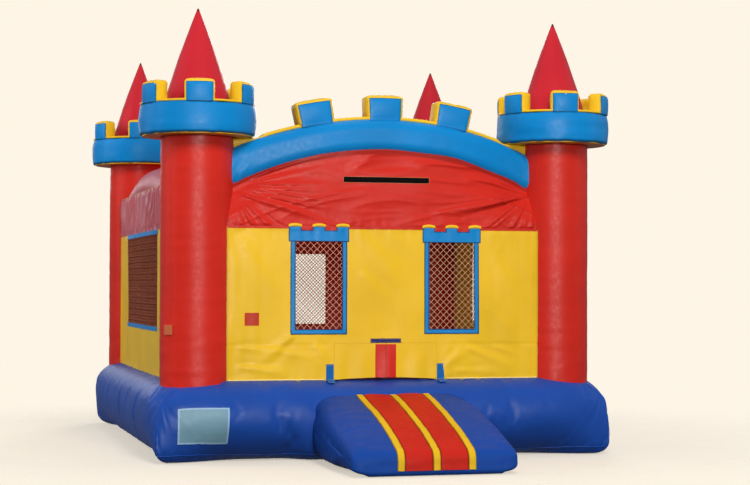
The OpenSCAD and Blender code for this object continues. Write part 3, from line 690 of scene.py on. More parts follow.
class Finish(Nodes):
    """A material under construction: a Principled shader and helpers that make textures for it."""

    def __init__(self, name):
        self.material = bpy.data.materials.new(name)
        self.material.use_nodes = True
        super().__init__(self.material.node_tree)
        self.shader = self.nodes["Principled BSDF"]
        self.place = self.node("ShaderNodeTexCoord").outputs["Object"]

    def noise(self, scale, detail=3, distortion=0.0):
        """Cloudy noise on Object coordinates."""
        values = {"Vector": self.place, "Scale": scale, "Detail": detail, "Distortion": distortion}
        return self.node("ShaderNodeTexNoise", values).outputs[0]

    def wave(self, scale, direction, distortion=0.0):
        """Bands on Object coordinates."""
        values = {"Vector": self.place, "Scale": scale, "Distortion": distortion}
        return self.node("ShaderNodeTexWave", values, bands_direction=direction).outputs[1]

    def crossed(self, first, second):
        """The sum of two heights."""
        return self.node("ShaderNodeMath", {0: first, 1: second}).outputs[0]

    def spread(self, value, low, high):
        """Noise from 0.3 to 0.7 spread from low to high."""
        values = {"Value": value, "From Min": 0.3, "From Max": 0.7, "To Min": low, "To Max": high}
        return self.node("ShaderNodeMapRange", values).outputs[0]

    def mix(self, share, first, second):
        """Two colours mixed by a share."""
        return self.node("ShaderNodeMix", {0: share, 6: first, 7: second}, data_type="RGBA").outputs[2]

    def mottled(self, noise, colour, low, high):
        """A colour that wanders between two tones with some noise."""
        return self.mix(self.spread(noise, 0, 1), toned(colour, low), toned(colour, high))

    def bump(self, height, strength, distance, normal=None):
        """Bump from a height, over another bump."""
        values = {"Height": height, "Strength": strength, "Distance": distance}
        if normal:
            values["Normal"] = normal
        return self.node("ShaderNodeBump", values).outputs[0]

    def set(self, **sockets):
        """Links or sets the shader's sockets, with underscores for the spaces of their names."""
        for key, value in sockets.items():
            self.put(value, self.shader.inputs[key.replace("_", " ")])
        return self.material


def toned(colour, factor):
    """A colour made darker or lighter, with alpha."""
    return tuple(min(1.0, c * factor) for c in colour) + (1.0,)


def coated_fabric(name, trodden=False):
    """Coated fabric in one of the house's colours: cloudy tone, darker seams with painted shade beside some
    of them, soft creases and a fine weave.

    Trodden fabric has lost some of its gloss, and its tone is darkened: painted shade on the ramp's upward
    faces.
    """
    label = f"{name}_trodden_fabric" if trodden else f"{name}_coated_fabric"
    if label in bpy.data.materials:
        return bpy.data.materials[label]
    finish, colour = Finish(label), getattr(colours(), name)
    # The 0.88 tone factor for trodden fabric is painted shade that darkens the ramp's upward faces; the
    # rougher, less glossy finish is wear
    painted_shade, smoothest, roughest, gloss = (0.88, 0.5, 0.62, 0.16) if trodden else (1.0, 0.34, 0.46, 0.34)
    tone = finish.mottled(finish.noise(2.2, 4), colour, 0.93 * painted_shade, 1.05 * painted_shade)
    # The seam attribute darkens seams and outlines, and along the wall panels' edges it also paints shade
    # into the crevices
    dark_seams_and_shade = finish.node("ShaderNodeAttribute", attribute_name="seam").outputs["Fac"]
    creased = finish.bump(finish.noise(7, 5, 0.6), 0.2, 0.012)
    woven = finish.crossed(finish.wave(110, "DIAGONAL"), finish.wave(110, "Z"))
    return finish.set(
        Base_Color=finish.mix(dark_seams_and_shade, tone, toned(colour, 0.28)),
        Roughness=finish.spread(finish.noise(30, 2), smoothest, roughest),
        Normal=finish.bump(woven, 0.1, 0.0006, creased),
        Specular_IOR_Level=gloss,
    )


def webbing(name):
    """Woven webbing: fine ribs across a matt yarn."""
    label = f"{name}_woven_webbing"
    if label in bpy.data.materials:
        return bpy.data.materials[label]
    finish = Finish(label)
    ribs = finish.crossed(finish.wave(150, "X", 0.4), finish.wave(70, "Z", 0.4))
    return finish.set(
        Base_Color=finish.mottled(finish.noise(60, 3), getattr(colours(), name), 0.88, 1.1),
        Roughness=finish.spread(finish.noise(45), 0.7, 0.9),
        Normal=finish.bump(ribs, 0.3, 0.0004),
        Specular_IOR_Level=0.1,
    )


def net_cord(name="cord"):
    """Twisted cord: a fine slanting twist in the bump and an uneven dye."""
    label = f"twisted_net_{name}"
    if label in bpy.data.materials:
        return bpy.data.materials[label]
    finish = Finish(label)
    return finish.set(
        Base_Color=finish.mottled(finish.noise(25, 3), getattr(colours(), name), 0.8, 1.12),
        Roughness=finish.spread(finish.noise(50), 0.6, 0.8),
        Normal=finish.bump(finish.wave(130, "DIAGONAL", 0.5), 0.6, 0.0008),
    )


def galvanised_steel():
    """Galvanised steel: mottled zinc with fine scratches."""
    label = "galvanised_steel"
    if label in bpy.data.materials:
        return bpy.data.materials[label]
    finish = Finish(label)
    return finish.set(
        Base_Color=finish.mottled(finish.noise(180, 2), colours().steel, 0.72, 1.05),
        Metallic=1.0,
        Roughness=finish.spread(finish.noise(90, 4), 0.22, 0.48),
        Normal=finish.bump(finish.wave(300, "X", 6), 0.15, 0.0003),
    )


# Base and floor


def base_section(count=136):
    """Outline (out from the seam, up) of a base side: flat top, round edge, swollen side, round foot."""
    edge, foot, swell, mid = 0.19, 0.12, 0.03, BASE_H / 2
    swell_r = (mid**2 + swell**2) / (2 * swell)
    high = np.linspace(BASE_H - edge, foot, 30)
    side = BASE_SWELL - swell_r + np.sqrt(swell_r**2 - (high - mid) ** 2)
    outline = np.vstack([
        [(-TUBE_W, 0.004), (-TUBE_W, BASE_H)],
        arc(side[0] - edge, BASE_H - edge, edge, 90, 2, 14),
        np.column_stack([side, high]),
        arc(side[-1] - foot, foot, foot, 0, -90, 10) + (0, 0.001),
    ])
    return evenly(outline, count)


def base_share():
    """Where the stations of a base side stand along its run, from -1 to 1, closer towards the corners."""
    even = np.linspace(-1, 1, 231)
    return 0.6 * np.sin(even * math.pi / 2) + 0.4 * even


def base_side(half_run, half_reach, belly_out, foot_in, clear, seed):
    """One side of the base: its section carried along the run, each point as far as the mitre lets it go.

    The relief along the section's normal is a belly, broad drift, gathers under the upper edge and
    creases that fan out from the top of each corner, which is drawn down. The foot goes in by
    foot_in * (1 - up / 0.42)^2 away from the corners and from a middle of half width clear. Then the
    side is blown up.
    """
    ring = base_section()
    normal = ring_normals(ring)
    out, up = ring.T
    along = base_share()[:, None] * (half_run + out)
    left = half_run + out - np.abs(along)
    face = smooth((out + 0.2) / 0.14)
    belly = np.clip(4 * up * (BASE_H - up) / BASE_H**2, 0, 1) * face
    below = np.hypot(BASE_H - up, np.minimum(out, 0))
    angle = np.arctan2(BASE_H - up, left + 0.02)
    far = np.hypot(BASE_H - up, left)
    drawn = ridged(drift(angle, far * 0.25, 0.2, seed + 3)) * smooth(far / 0.07) * np.exp(-far / 0.34)
    relief = smooth(left / 0.05) * (
        belly_out * belly * smooth(left / 0.6)
        + 0.007 * belly * drift(along, up, 0.5, seed)
        + 0.003 * face * belly * drift(along, up * 1.6, 0.16, seed + 1)
        + 0.15 * sizes().pucker * face * smooth(up / 0.2) * gathers(along, below, 0.07, 0.12, seed + 2)
        + 0.02 * face * smooth((up - 0.1) / 0.2) * drawn
    )
    pinch = 0.06 * bell(left, 0.2) * smooth((up - 0.3) / 0.36) * smooth((out + 0.35) / 0.35)
    tuck = 0.03 * bell(left, 0.14) * bell(up - 0.36, 0.2) * face
    under = np.clip(1 - up / 0.42, 0, 1) ** 2 * smooth((out + 0.35) / 0.3)
    under = foot_in * under * smooth((left - 0.05) / 0.6) * smooth((np.abs(along) - clear) / 0.3)
    push = normal[:, 0] * relief - 0.5 * pinch - tuck - under
    mitred = along + np.sign(along) * push * bell(left, 0.12)
    points = xyz(mitred, -(half_reach + out + push), up + normal[:, 1] * relief - pinch)
    held = (out < -0.3) | (up < 0.012) | (left < 0.012)
    return inflated(points, held, most=0.012)


def base_welt(sides):
    """A thin round welt around the foot of the base: a circle carried along a line of all four sides."""
    (out, up), welt_z = base_section().T, 0.062
    line = np.argmin(np.where(out > -0.1, np.abs(up - welt_z), math.inf))
    path = evenly(np.vstack([side[:-1, line] for side in sides]), 560)
    tangent = np.roll(path, -1, axis=0) - np.roll(path, 1, axis=0)
    side = unit(xyz(tangent[:, 1], -tangent[:, 0], 0))
    circle = arc(0, 0, sizes().welt_r, 0, 315, 8)
    return torus(path[:, None] + side[:, None] * circle[:, :1] + circle[:, 1:] * (0, 0, 1))


def base_panel(front):
    """A bare panel on the front of the base and its border: thin sheets that follow the front's own grid."""
    (out, up), sink = base_section().T, 0.006
    face = np.flatnonzero((out > -0.15) & (up > 0.01) & (up < BASE_H - 0.02))[::-1]

    def sheet(x, z, lift, keep=None):
        a, b = grid(x, z)
        v = np.interp(b, up[face], face)
        reach = BASE_X - BASE_SWELL + np.interp(v, np.arange(len(out)), out)
        place = between(front, np.interp(a / reach, base_share(), np.arange(len(front))), v)
        return slab(place - (0, lift, 0), place + (0, sink, 0), keep)

    (low_x, high_x), (low_z, high_z), rim = BASE_PANEL_X, BASE_PANEL_Z, BASE_PANEL_RIM
    inner = sheet(stops(rim, low_x, high_x), stops(rim, low_z, high_z), lift=0.004)
    x = stops(rim, low_x - rim, low_x, high_x, high_x + rim)
    z = stops(rim, low_z - rim, low_z, high_z, high_z + rim)
    middle_x, middle_z = (x[:-1] + x[1:])[:, None] / 2, (z[:-1] + z[1:]) / 2
    keep = (middle_x < low_x) | (middle_x > high_x) | (middle_z < low_z) | (middle_z > high_z)
    return inner, sheet(x, z, 0.0055, keep)


# Each side of the base: how far its belly stands out, how far its foot goes in, and the half width of
# a middle where the foot stays out
BELLIES = {
    "front": (0.045, 0.2, 0.62),
    "right": (0.035, 0.12, -1),
    "back": (0, 0, -1),
    "left": (0.035, 0.12, -1),
}


class HOUSE_OT_base(bpy.types.Operator):
    """Air-filled sides of the base with drawn-in mitred corners, the welt around its foot and a bare panel"""

    bl_idname = "bounce_house.base"
    bl_label = "Base"

    def execute(self, context):
        run, reach = BASE_X - BASE_SWELL, BASE_Y - BASE_SWELL
        sides = []
        for seed, (side, belly) in enumerate(BELLIES.items()):
            skin = turned(base_side(run, reach, *belly, 10 * seed + 3), QUARTERS[side])
            fabric_piece(f"base_{side}_side", closed_tube(skin), "royal_blue", f"base_{side}_tube", fill=1.0)
            sides.append(skin)
            run, reach = reach, run
        fabric_piece("base_welt", base_welt(sides), "royal_blue")
        inner, rim = base_panel(sides[0])
        fabric_piece("base_bare_panel", inner, "teal")
        fabric_piece("base_panel_border", rim, "pale")
        return {"FINISHED"}


def channelled_floor(channels=8):
    """The bounce floor: crowned channels side by side as a section (x, z), carried from front to back.

    Across a channel the top falls by depth |t|^3, t from -1 to 1, with gathers beside the sewn lines.
    """
    (half_x, half_y, _), depth, foot = FLOOR_HIGH, 0.05, 0.02
    share = np.linspace(-1, 1, channels * 24 + 1)
    local = np.abs((share + 1) * channels / 2 % 1 * 2 - 1)
    across, along = share * half_x, np.linspace(-half_y, half_y, 140)[:, None]
    top = BASE_H - depth * local**3 + 0.006 * drift(across, along, 0.5, 8)
    top = top + sizes().pucker * gathers(along, (1 - local) * half_x / channels, 0.05, 0.07, 5)
    return closed_tube(np.hstack([xyz(across, along, top), xyz(across[::-12], along, foot)]))


class HOUSE_OT_floor(bpy.types.Operator):
    """Channelled bounce floor between the sides of the base"""

    bl_idname = "bounce_house.floor"
    bl_label = "Bounce floor"

    def execute(self, context):
        fabric_piece("bounce_floor_channels", channelled_floor(), "royal_blue", "bounce_floor", fill=0.9)
        return {"FINISHED"}


# Towers


def column(seed):
    """A column: an outline sunk a little into the base, turned, with level folds that wander round it."""
    low, top, axis_r = BASE_H - 0.09, COLLAR_TOP - SKIN_OVERLAP, 0.01
    high = np.linspace(low, top, 190)
    side = np.column_stack([np.full(len(high), COLUMN_R), high])

    def relief(turn, radius, high):
        above = high - BASE_H
        level = drift(turn, high / 0.3, 1 / 6, seed, 6) * (0.5 + 0.5 * np.exp(-np.maximum(above, 0) / 0.5))
        broad = drift(turn, high / 3.5, 1 / 5, seed + 1, 5)
        foot = gathers(turn, above, 1 / 44, 0.09, seed + 2, 44)
        neck = gathers(turn, COLLAR_Z - high, 1 / 40, 0.1, seed + 3, 40)
        return (0.0024 * level + 0.003 * broad + 0.7 * sizes().pucker * (foot + neck)) * (radius > 0.1)

    return lathe(np.vstack([[(axis_r, low)], side, [(axis_r, top)]]), 112, relief)


def collar(seed):
    """A collar: a ring section with a swollen outer face and round rims, with gathers at both rims."""
    inner, high, low_r, high_r = COLUMN_R - 0.004, COLLAR_TOP - COLLAR_Z, 0.02, 0.012
    face = np.linspace(low_r, high - high_r, 18)
    swell = 0.012 * (1 - ((face - high / 2) / (high / 2)) ** 2)
    outer = COLLAR_R - 0.014
    flat = np.linspace(inner, outer - low_r, 8, endpoint=False)
    section = np.vstack([
        np.column_stack([flat, 0 * flat]),
        arc(outer - low_r + swell[0], low_r, low_r, -90, 0, 9)[:-1],
        np.column_stack([outer + swell, face]),
        arc(outer - high_r + swell[-1], high - high_r, high_r, 0, 90, 7)[1:],
        np.column_stack([flat[::-1], 0 * flat + high]),
    ])[::-1]
    section = evenly(section, 88)

    def relief(turn, radius, up):
        shown = smooth((radius - inner - 0.05) / 0.05)
        rims = gathers(turn, up, 1 / 52, 0.05, seed, 52)
        rims = rims + gathers(turn, high - up, 1 / 52, 0.05, seed + 1, 52)
        return shown * (1.1 * sizes().pucker * rims + 0.004 * drift(turn, up / 0.5, 1 / 8, seed, 8))

    surface = lathe(section, 132, relief, closed=True)
    up = surface[0][:, 2]
    dark = 0.75 * (bell(up - 0.004, 0.012) + bell(up - high, 0.008))
    return moved(surface, z=COLLAR_Z), dark


def soffit(seed):
    """The ring that closes a collar from below: a flat ring section that sags, with spokes of gathers."""
    inner, outer, thick = COLUMN_R - 0.004, COLLAR_R - 0.034, 0.008
    share = np.linspace(0, 1, 14)
    low = np.column_stack([lerp(inner, outer, share), -0.006 * np.sin(math.pi * share)])
    section = np.vstack([low, np.column_stack([low[::-1, 0], np.full(14, thick - 0.001)])])[::-1]

    def relief(turn, radius, up):
        fade = np.sin(math.pi * np.clip((radius - inner) / (outer - inner), 0, 1))
        return 0.003 * drift(turn, radius, 1 / 36, seed, 36) * fade * (up < thick / 2)

    return moved(lathe(section, 108, relief, closed=True), z=SOFFIT_Z)


def merlon_swell(x, z):
    """How far a merlon's face stands out, x and z from -1 to 1: (1 - x^2)(1 - z^2)."""
    return np.clip(1 - x**2, 0, 1) * np.clip(1 - z**2, 0, 1)


def air_block(half, edge):
    """A merlon's box: puffed, then blown up with its foot and its upright seams held."""
    counts = (20, 12, 18)
    cube, _ = cube_grid(counts)
    seams = (np.abs(cube[:, 0]) > 0.97) & (np.abs(cube[:, 1]) > 0.97)
    points, quads = puffed(half, edge, swell=0.006, counts=counts)
    return points + blown((points, quads), seams | (cube[:, 2] < -0.99), most=0.007), quads


def crown(seed):
    """Six air-filled merlons on a low round-edged band. A merlon is a puffed box bent round the tower."""
    half = np.array([CROWN_MERLON_HALF, CROWN_T / 2, (CROWN_TOP - COLLAR_TOP) / 2])
    box, quads = air_block(half, edge=0.024)
    parts = []
    for number, middle in enumerate(MERLON_ANGLES):
        wrinkle = 0.003 * drift(box[:, 0] + number, box[:, 2], 0.06, seed + number)
        angle = middle + box[:, 0] / half[0] * MERLON_HALF
        radius = CROWN_R - CROWN_T / 2 + box[:, 1] * (1 + 12 * wrinkle)
        parts.append(outward((around(angle, radius, box[:, 2] + half[2] + wrinkle), quads)))
    edge = CROWN_BAND_H / 2
    band = np.vstack([
        arc(CROWN_R - edge, edge, edge, -90, 90, 9),
        arc(CROWN_R - CROWN_T + edge, edge, edge, 90, 270, 9),
    ])[::-1]
    parts.append(lathe(evenly(band, 40), 144, closed=True))
    return moved(joined(*parts), z=COLLAR_TOP)


def face_grid(half, tall, foot, count):
    """The face panel of a merlon inside its border: x and z, from -1 to 1 over the merlon, and its lift.

    The panel starts at the height foot. Its lift grows from the rim in a smooth step.
    """
    edge_x, edge_z = FACE_BORDER / half, 2 * FACE_BORDER / tall
    across, up = np.linspace(edge_x - 1, 1 - edge_x, count), np.linspace(foot, 1 - edge_z, 18)
    x, z = grid(across, up)
    rim = np.minimum((1 - edge_x - np.abs(x)) * half, (1 - edge_z - z) * tall / 2)
    return x, z, 0.0015 + 0.004 * smooth(rim / 0.02)


def crown_faces():
    """Panels on the merlons' outer sides: thin cushions that follow the swelling, inside a yellow border."""
    tall = CROWN_TOP - COLLAR_TOP
    x, z, lift = face_grid(MERLON_HALF * CROWN_R, tall, -1.03, 22)
    radius, up = CROWN_R + 0.01 * merlon_swell(x, z), COLLAR_TOP + (z + 1) * tall / 2
    parts = []
    for middle in MERLON_ANGLES:
        grids = [around(middle + x * MERLON_HALF, radius + over, up) for over in (lift, -FACE_SINK)]
        parts.append(outward(slab(*grids)))
    ring = joined(*parts)
    panels = joined(*[moved(ring, x * COLUMN_X, y * COLUMN_Y) for x, y in TOWERS.values()])
    return panels, np.tile(rimmed(*parts), len(TOWERS))


def cone(seed):
    """A cone of eight gores: straight sides that swell a little, drawn in along the seams, with a blunt tip.

    Gives the surface and how dark each of its points is.
    """
    tall = CONE_TOP - COLLAR_TOP
    share = np.linspace(0, 1, 90) ** 0.9
    radius = CONE_R * (1 - share) + 0.012 * np.sin(math.pi * share) + 0.006 * share
    profile = np.vstack([[(0.01, 0.0)], np.column_stack([radius, share * tall]), [(0.002, tall + 0.002)]])

    def relief(turn, r, up):
        seam = np.abs(np.sin(8 * math.pi * turn)) ** 0.35 - 1
        base = gathers(turn, up, 1 / 40, 0.08, seed, 40)
        wave = drift(turn, up / 0.4, 1 / 7, seed + 1, 7)
        shown = np.clip(r / 0.12, 0, 1) * (r > 0.02)
        return (0.003 * seam + 0.6 * sizes().pucker * base + 0.0012 * wave) * shown

    surface = lathe(profile, 100, relief)
    dark = smooth((surface[0][:, 2] - 0.955 * tall) / (0.03 * tall))
    return moved(surface, z=COLLAR_TOP), dark


class HOUSE_OT_towers(bpy.types.Operator):
    """Four towers: columns, swollen collars with closed undersides, crowns of merlons and cones"""

    bl_idname = "bounce_house.towers"
    bl_label = "Towers"

    def execute(self, context):
        soffits = []
        for seed, (tower, (x, y)) in enumerate(TOWERS.items()):
            place = {"x": x * COLUMN_X, "y": y * COLUMN_Y}
            for part, colour, surface, dark in (
                ("column", "red", column(20 + 7 * seed), None),
                ("collar", "sky_blue", *collar(40 + 3 * seed)),
                ("crown", "yellow", crown(50 + 9 * seed), None),
                ("cone", "cone_red", *cone(60 + seed)),
            ):
                node = f"{part}_{tower}"
                fabric_piece(f"{node}_skin", moved(surface, **place), colour, node, fill=1.0, seam=dark)
            soffits.append(moved(soffit(70 + seed), **place))
        fabric_piece("tower_soffit_rings", joined(*soffits), "yellow", "tower_soffits", fill=0.3)
        faces, rims = crown_faces()
        fabric_piece("tower_merlon_panels", faces, "sky_blue", "tower_merlon_faces", fill=0.3, seam=rims)
        return {"FINISHED"}


# Arch, beams and roof


def column_end(y):
    """How far across a beam reaches before it meets a front or back column, at the depth y."""
    return COLUMN_X - np.sqrt(np.clip(COLUMN_R**2 - (np.abs(y) - COLUMN_Y) ** 2, 0, None)) + SKIN_OVERLAP


def vault(angle, radius, y):
    """Points about the arch's centre line: angle from the top, radius and depth."""
    return xyz(radius * np.sin(angle), y, ARCH_CENTRE_Z + radius * np.cos(angle))


def oblong(width, height, edge, count):
    """A rounded oblong outline about its middle, run clockwise."""
    half_w, half_h = width / 2 - edge, height / 2 - edge
    outline = np.vstack([
        arc(half_w, half_h, edge, 90, 0, 12),
        arc(half_w, -half_h, edge, 0, -90, 12),
        arc(-half_w, -half_h, edge, -90, -180, 12),
        arc(-half_w, half_h, edge, 180, 90, 12),
    ])
    return evenly(outline, count)


def tucked(x):
    """How far the arch's front is drawn back towards the columns, in a smooth step."""
    return ARCH_TUCK * smooth((np.abs(x) - 0.5) / 0.84)


def towards_front(y):
    """1 at the arch's front and 0 at its back."""
    return np.clip((ARCH_HIGH[1] - y) / (ARCH_HIGH[1] - ARCH_LOW[1]), 0, 1)


def drawn_back(angle, radius, y):
    """Points of the arch with its front tucked in at the ends, and its back left in place."""
    points = vault(angle, radius, y)
    points[..., 1] += tucked(points[..., 0]) * towards_front(points[..., 1])
    return points


def tucked_end(y):
    """How far across the tucked arch reaches before it meets a column."""
    return column_end(y + ARCH_TUCK * towards_front(y))


def vaulted_beam(section, mid_r, mid_y, relief, end_at=column_end, place=vault):
    """A section (out, y) carried along an arc, each point until it meets the columns."""
    normal = ring_normals(section)
    y = mid_y + section[:, 1]
    radius = mid_r + section[:, 0]
    end = np.arcsin(np.clip(end_at(y) / radius, -1, 1))
    angle = np.linspace(-1, 1, 210)[:, None] * end
    shift = relief(angle * radius, section)
    return closed_tube(place(angle, radius + normal[:, 0] * shift, y + normal[:, 1] * shift))


def arch_relief(along, section):
    """The arch's relief: drift, and fine slanting wrinkles towards its ends."""
    out, depth = section.T
    to_end = np.clip(1.42 - np.abs(along), 0, None)
    return (
        0.005 * drift(along, out + depth, 0.3, 91)
        + 0.006 * np.exp(-to_end / 0.16) * drift(np.abs(along) + 0.7 * out, out * 0.3, 0.035, 92)
        + 0.003 * np.exp(-to_end / 0.5) * drift(along, out, 0.07, 93)
    )


def beam_relief(along, section):
    """A beam's relief: drift and level folds."""
    return 0.005 * drift(along, section[:, 0], 0.35, 95) + 0.003 * drift(along, section[:, 0] * 3, 0.12, 96)


def arch_battlement():
    """Three puffed merlons along the top of the arch, and a low band that thickens beyond them."""
    (_, front, _), (reach, back, high) = ARCH_CROWN_LOW, ARCH_CROWN_HIGH
    y, depth, tall = (front + back) / 2, back - front, high - ARCH_HIGH[2]
    box, quads = air_block(np.array([ARCH_MERLON_HALF, depth / 2, tall / 2]), edge=0.026)
    mid_r = ARCH_TOP_R + tall / 2
    parts = []
    for number in (-1, 0, 1):
        wrinkle = 0.003 * drift(box[:, 0] + 3 * number, box[:, 2], 0.07, 97)
        angle = (number * ARCH_MERLON_STEP + box[:, 0]) / mid_r
        parts.append(outward((vault(angle, mid_r + box[:, 2] + wrinkle, y + box[:, 1]), quads)))
    sunk, gap, thinnest, thickest = SKIN_OVERLAP, 0.004, 0.003, 0.085
    section = oblong(1, depth / (CROWN_BAND_H + sunk), 0.45, 48) * (1, CROWN_BAND_H + sunk)
    angle = np.linspace(-1, 1, 300)[:, None] * np.arcsin(tucked_end(y + section[:, 1]) / ARCH_TOP_R)
    room = SOFFIT_Z - gap - (ARCH_CENTRE_Z + ARCH_TOP_R * np.cos(angle))
    inside = smooth((reach - np.abs(np.sin(angle)) * ARCH_TOP_R) / 0.07)
    thick = np.maximum(np.clip(room, thinnest, thickest) * (inside == 0), CROWN_BAND_H * inside) + sunk
    radius = ARCH_TOP_R - sunk + thick * (0.5 + section[:, 0])
    return joined(*parts, closed_tube(drawn_back(angle, radius, y + section[:, 1])))


def arch_faces():
    """Panels on the fronts and backs of the arch's merlons: thin cushions that follow their swelling."""
    tall = ARCH_CROWN_HIGH[2] - ARCH_HIGH[2]
    mid_r = ARCH_TOP_R + tall / 2
    x, z, lift = face_grid(ARCH_MERLON_HALF, tall, -1.14, 26)
    swell = 0.012 * merlon_swell(x, z)
    parts = []
    for number in (-1, 0, 1):
        angle = (number * ARCH_MERLON_STEP + x * ARCH_MERLON_HALF) / mid_r
        for side, y in ((-1, ARCH_CROWN_LOW[1]), (1, ARCH_CROWN_HIGH[1])):
            depths = [y + side * (swell + over) for over in (lift, -FACE_SINK)]
            parts.append(outward(slab(*[vault(angle, mid_r + z * tall / 2, depth) for depth in depths])))
    return joined(*parts), rimmed(*parts)


def beam_circle():
    """The section of a beam, run clockwise."""
    return arc(0, 0, BEAM_R, 0, -355, 72)


def side_beam(side, seed):
    """A side beam: a circle carried along an arc that rises to its middle, until it meets the columns."""
    circle = beam_circle()
    x = (SIDE_BEAM_LOW[0] + SIDE_BEAM_HIGH[0]) / 2
    nearest = np.sqrt(np.clip(COLUMN_R**2 - (x + circle[:, 0] - COLUMN_X) ** 2, 0, None))
    y = np.linspace(-1, 1, 170)[:, None] * (COLUMN_Y - nearest + SKIN_OVERLAP)
    high = SIDE_BEAM_HIGH[2] - BEAM_R - SIDE_BEAM_RISE * (y / COLUMN_Y) ** 2
    grown = 1 + beam_relief(y + seed, circle) / BEAM_R
    return closed_tube(xyz(side * (x + circle[:, 0] * grown), y, high + circle[:, 1] * grown))


def roof():
    """The roof: a vaulted sheet over the cabin that sags a little between the arch and the back beam.

    Gives the surface, and its sizes across and along.
    """
    reach = SIDE_BEAM_LOW[0] + 0.15
    front, back = ARCH_HIGH[1] - 0.02, BACK_BEAM_LOW[1] + 0.12
    a, b = grid(np.linspace(-reach, reach, 95), np.linspace(front, back, 105))
    sag = 0.03 * np.sin(math.pi * (b - front) / (back - front))
    relief = 0.008 * drift(a, b, 0.5, 31) + sizes().pucker * gathers(a, b - front, 0.06, 0.15, 32) - sag
    grids = [xyz(a, b, arch_line(a, ROOF_R + relief + over)) for over in (WALL_T / 2, -WALL_T / 2)]
    return outward(slab(*grids)), (2 * reach, back - front)


class HOUSE_OT_arch(bpy.types.Operator):
    """Front arch with its band, merlons and face panels"""

    bl_idname = "bounce_house.arch"
    bl_label = "Front arch"

    def execute(self, context):
        tall, middle = ARCH_TOP_R - ARCH_R, (ARCH_LOW[1] + ARCH_HIGH[1]) / 2
        section = oblong(tall, ARCH_HIGH[1] - ARCH_LOW[1], ARCH_EDGE_R, 112)
        arch = vaulted_beam(section, ARCH_R + tall / 2, middle, arch_relief, tucked_end, drawn_back)
        dark = 0.8 * smooth((0.03 - tall / 2 - section[:, 0]) / 0.022) * (section[:, 1] < 0)
        dark = np.tile(dark, len(arch[0]) // len(section))
        fabric_piece("front_arch_skin", arch, "sky_blue", "front_arch", fill=1.0, seam=dark)
        fabric_piece("arch_battlement", arch_battlement(), "yellow", "arch_crown", fill=1.0)
        faces, rims = arch_faces()
        fabric_piece("arch_merlon_panels", faces, "sky_blue", "arch_merlon_faces", fill=0.3, seam=rims)
        return {"FINISHED"}


class HOUSE_OT_beams(bpy.types.Operator):
    """Side and back beams and the roof sheet"""

    bl_idname = "bounce_house.beams"
    bl_label = "Beams and roof"

    def execute(self, context):
        back_y = (BACK_BEAM_LOW[1] + BACK_BEAM_HIGH[1]) / 2
        for node, colour, surface in (
            # The side beams take the paler red of painted sheen
            ("side_beam_left", "rose", side_beam(-1, 0.3)),
            ("side_beam_right", "rose", side_beam(1, 2.1)),
            ("back_beam", "red", vaulted_beam(beam_circle(), BACK_BEAM_ARC, back_y, beam_relief)),
        ):
            fabric_piece(f"{node}_skin", surface, colour, node, fill=1.0)
        surface, (across, along) = roof()
        sheet = fabric_piece("roof_vault", surface, "red", "roof_sheet")
        return {"FINISHED"}


# Walls


def wall_relief(seed, half):
    """Relief of a lower wall panel: broad waves, upright folds by the columns and gathers at its seams."""

    def relief(a, b):
        edge, rise, fall = half - np.abs(a), b - BASE_H, WALL_SPLIT - b
        hold = smooth(edge / 0.05) * smooth(rise / 0.05) * smooth(fall / 0.05)
        upright = drift(a, b * 0.12, 0.06, seed) * np.exp(-np.clip(edge, 0, None) / 0.22)
        foot = gathers(a, rise, 0.045, 0.09, seed + 3)
        head = smooth(fall / 0.02) * gathers(a, fall, 0.045, 0.09, seed + 4)
        return (
            sizes().sway * hold * drift(a, b, 0.42, seed + 1)
            + 0.004 * hold * drift(a, b * 0.6, 0.16, seed + 2)
            + 0.006 * hold * upright
            + 0.8 * sizes().pucker * smooth(edge / 0.03) * (foot + head)
        )

    return relief


# Drawn folds of the front wall's lower panel: start, end, width, and depth as a share of the fold depth
LOWER_FOLDS = (
    (-0.80, 1.06, -1.14, 0.78, 0.050, 0.40),
    (-0.64, 0.99, -0.42, 0.74, 0.050, 0.32),
    (-1.31, 0.79, -0.80, 0.72, 0.038, 0.32),
    (-1.30, 0.95, -0.86, 0.90, 0.040, 0.26),
    (-0.98, 0.92, -0.55, 0.84, 0.040, 0.24),
    (0.50, 0.76, 0.74, 0.94, 0.045, 0.34),
    (0.70, 0.95, 1.24, 0.72, 0.050, 0.42),
    (0.96, 0.95, 1.31, 0.83, 0.040, 0.26),
    (0.60, 0.74, 1.05, 0.72, 0.036, 0.26),
    (0.90, 1.30, 1.18, 1.04, 0.045, 0.22),
    (-0.30, 1.98, 0.26, 1.36, 0.100, 0.30),
    (-0.24, 1.60, 0.12, 1.20, 0.080, 0.24),
    (0.95, 1.76, 1.30, 1.18, 0.090, 0.28),
    (-1.30, 1.92, -0.96, 1.34, 0.080, 0.24),
)


def front_lower_relief(a, b):
    """Relief of the yellow front panel: a lower wall's, with soft slanting folds below the level seam."""
    slanting = np.array(LOWER_FOLDS) * (1, 1, 1, 1, 1, sizes().fold)
    fine = drift(a * 0.5 + 0.08 * drift(a, b, 0.3, 17), b + 0.3 * np.abs(a), 0.07, 16)
    fine = 0.0022 * fine * smooth((1.12 - b) / 0.3)
    hold = smooth((b - BASE_H) / 0.04) * smooth((WALL_HALF_X - np.abs(a)) / 0.04)
    door = 1 - smooth((DOOR_HALF + 0.12 - np.abs(a)) / 0.1) * smooth((DOOR_Z + 0.12 - b) / 0.1)
    level = -0.003 * bell(b - SEAM_Z, 0.006)
    return (wall_relief(11, WALL_HALF_X)(a, b) + hold * (creases(a, b, slanting) + fine) + level) * door


def arch_line(a, radius):
    """Height of an arc about the arch's centre."""
    return ARCH_CENTRE_Z + np.sqrt(radius**2 - a**2)


def ridged(value):
    """Noise as narrow ridges where it crosses zero: (1 - sqrt(value^2 + 0.012))^3, about its mean."""
    return (1 - np.sqrt(value**2 + 0.012)) ** 3 - 0.22


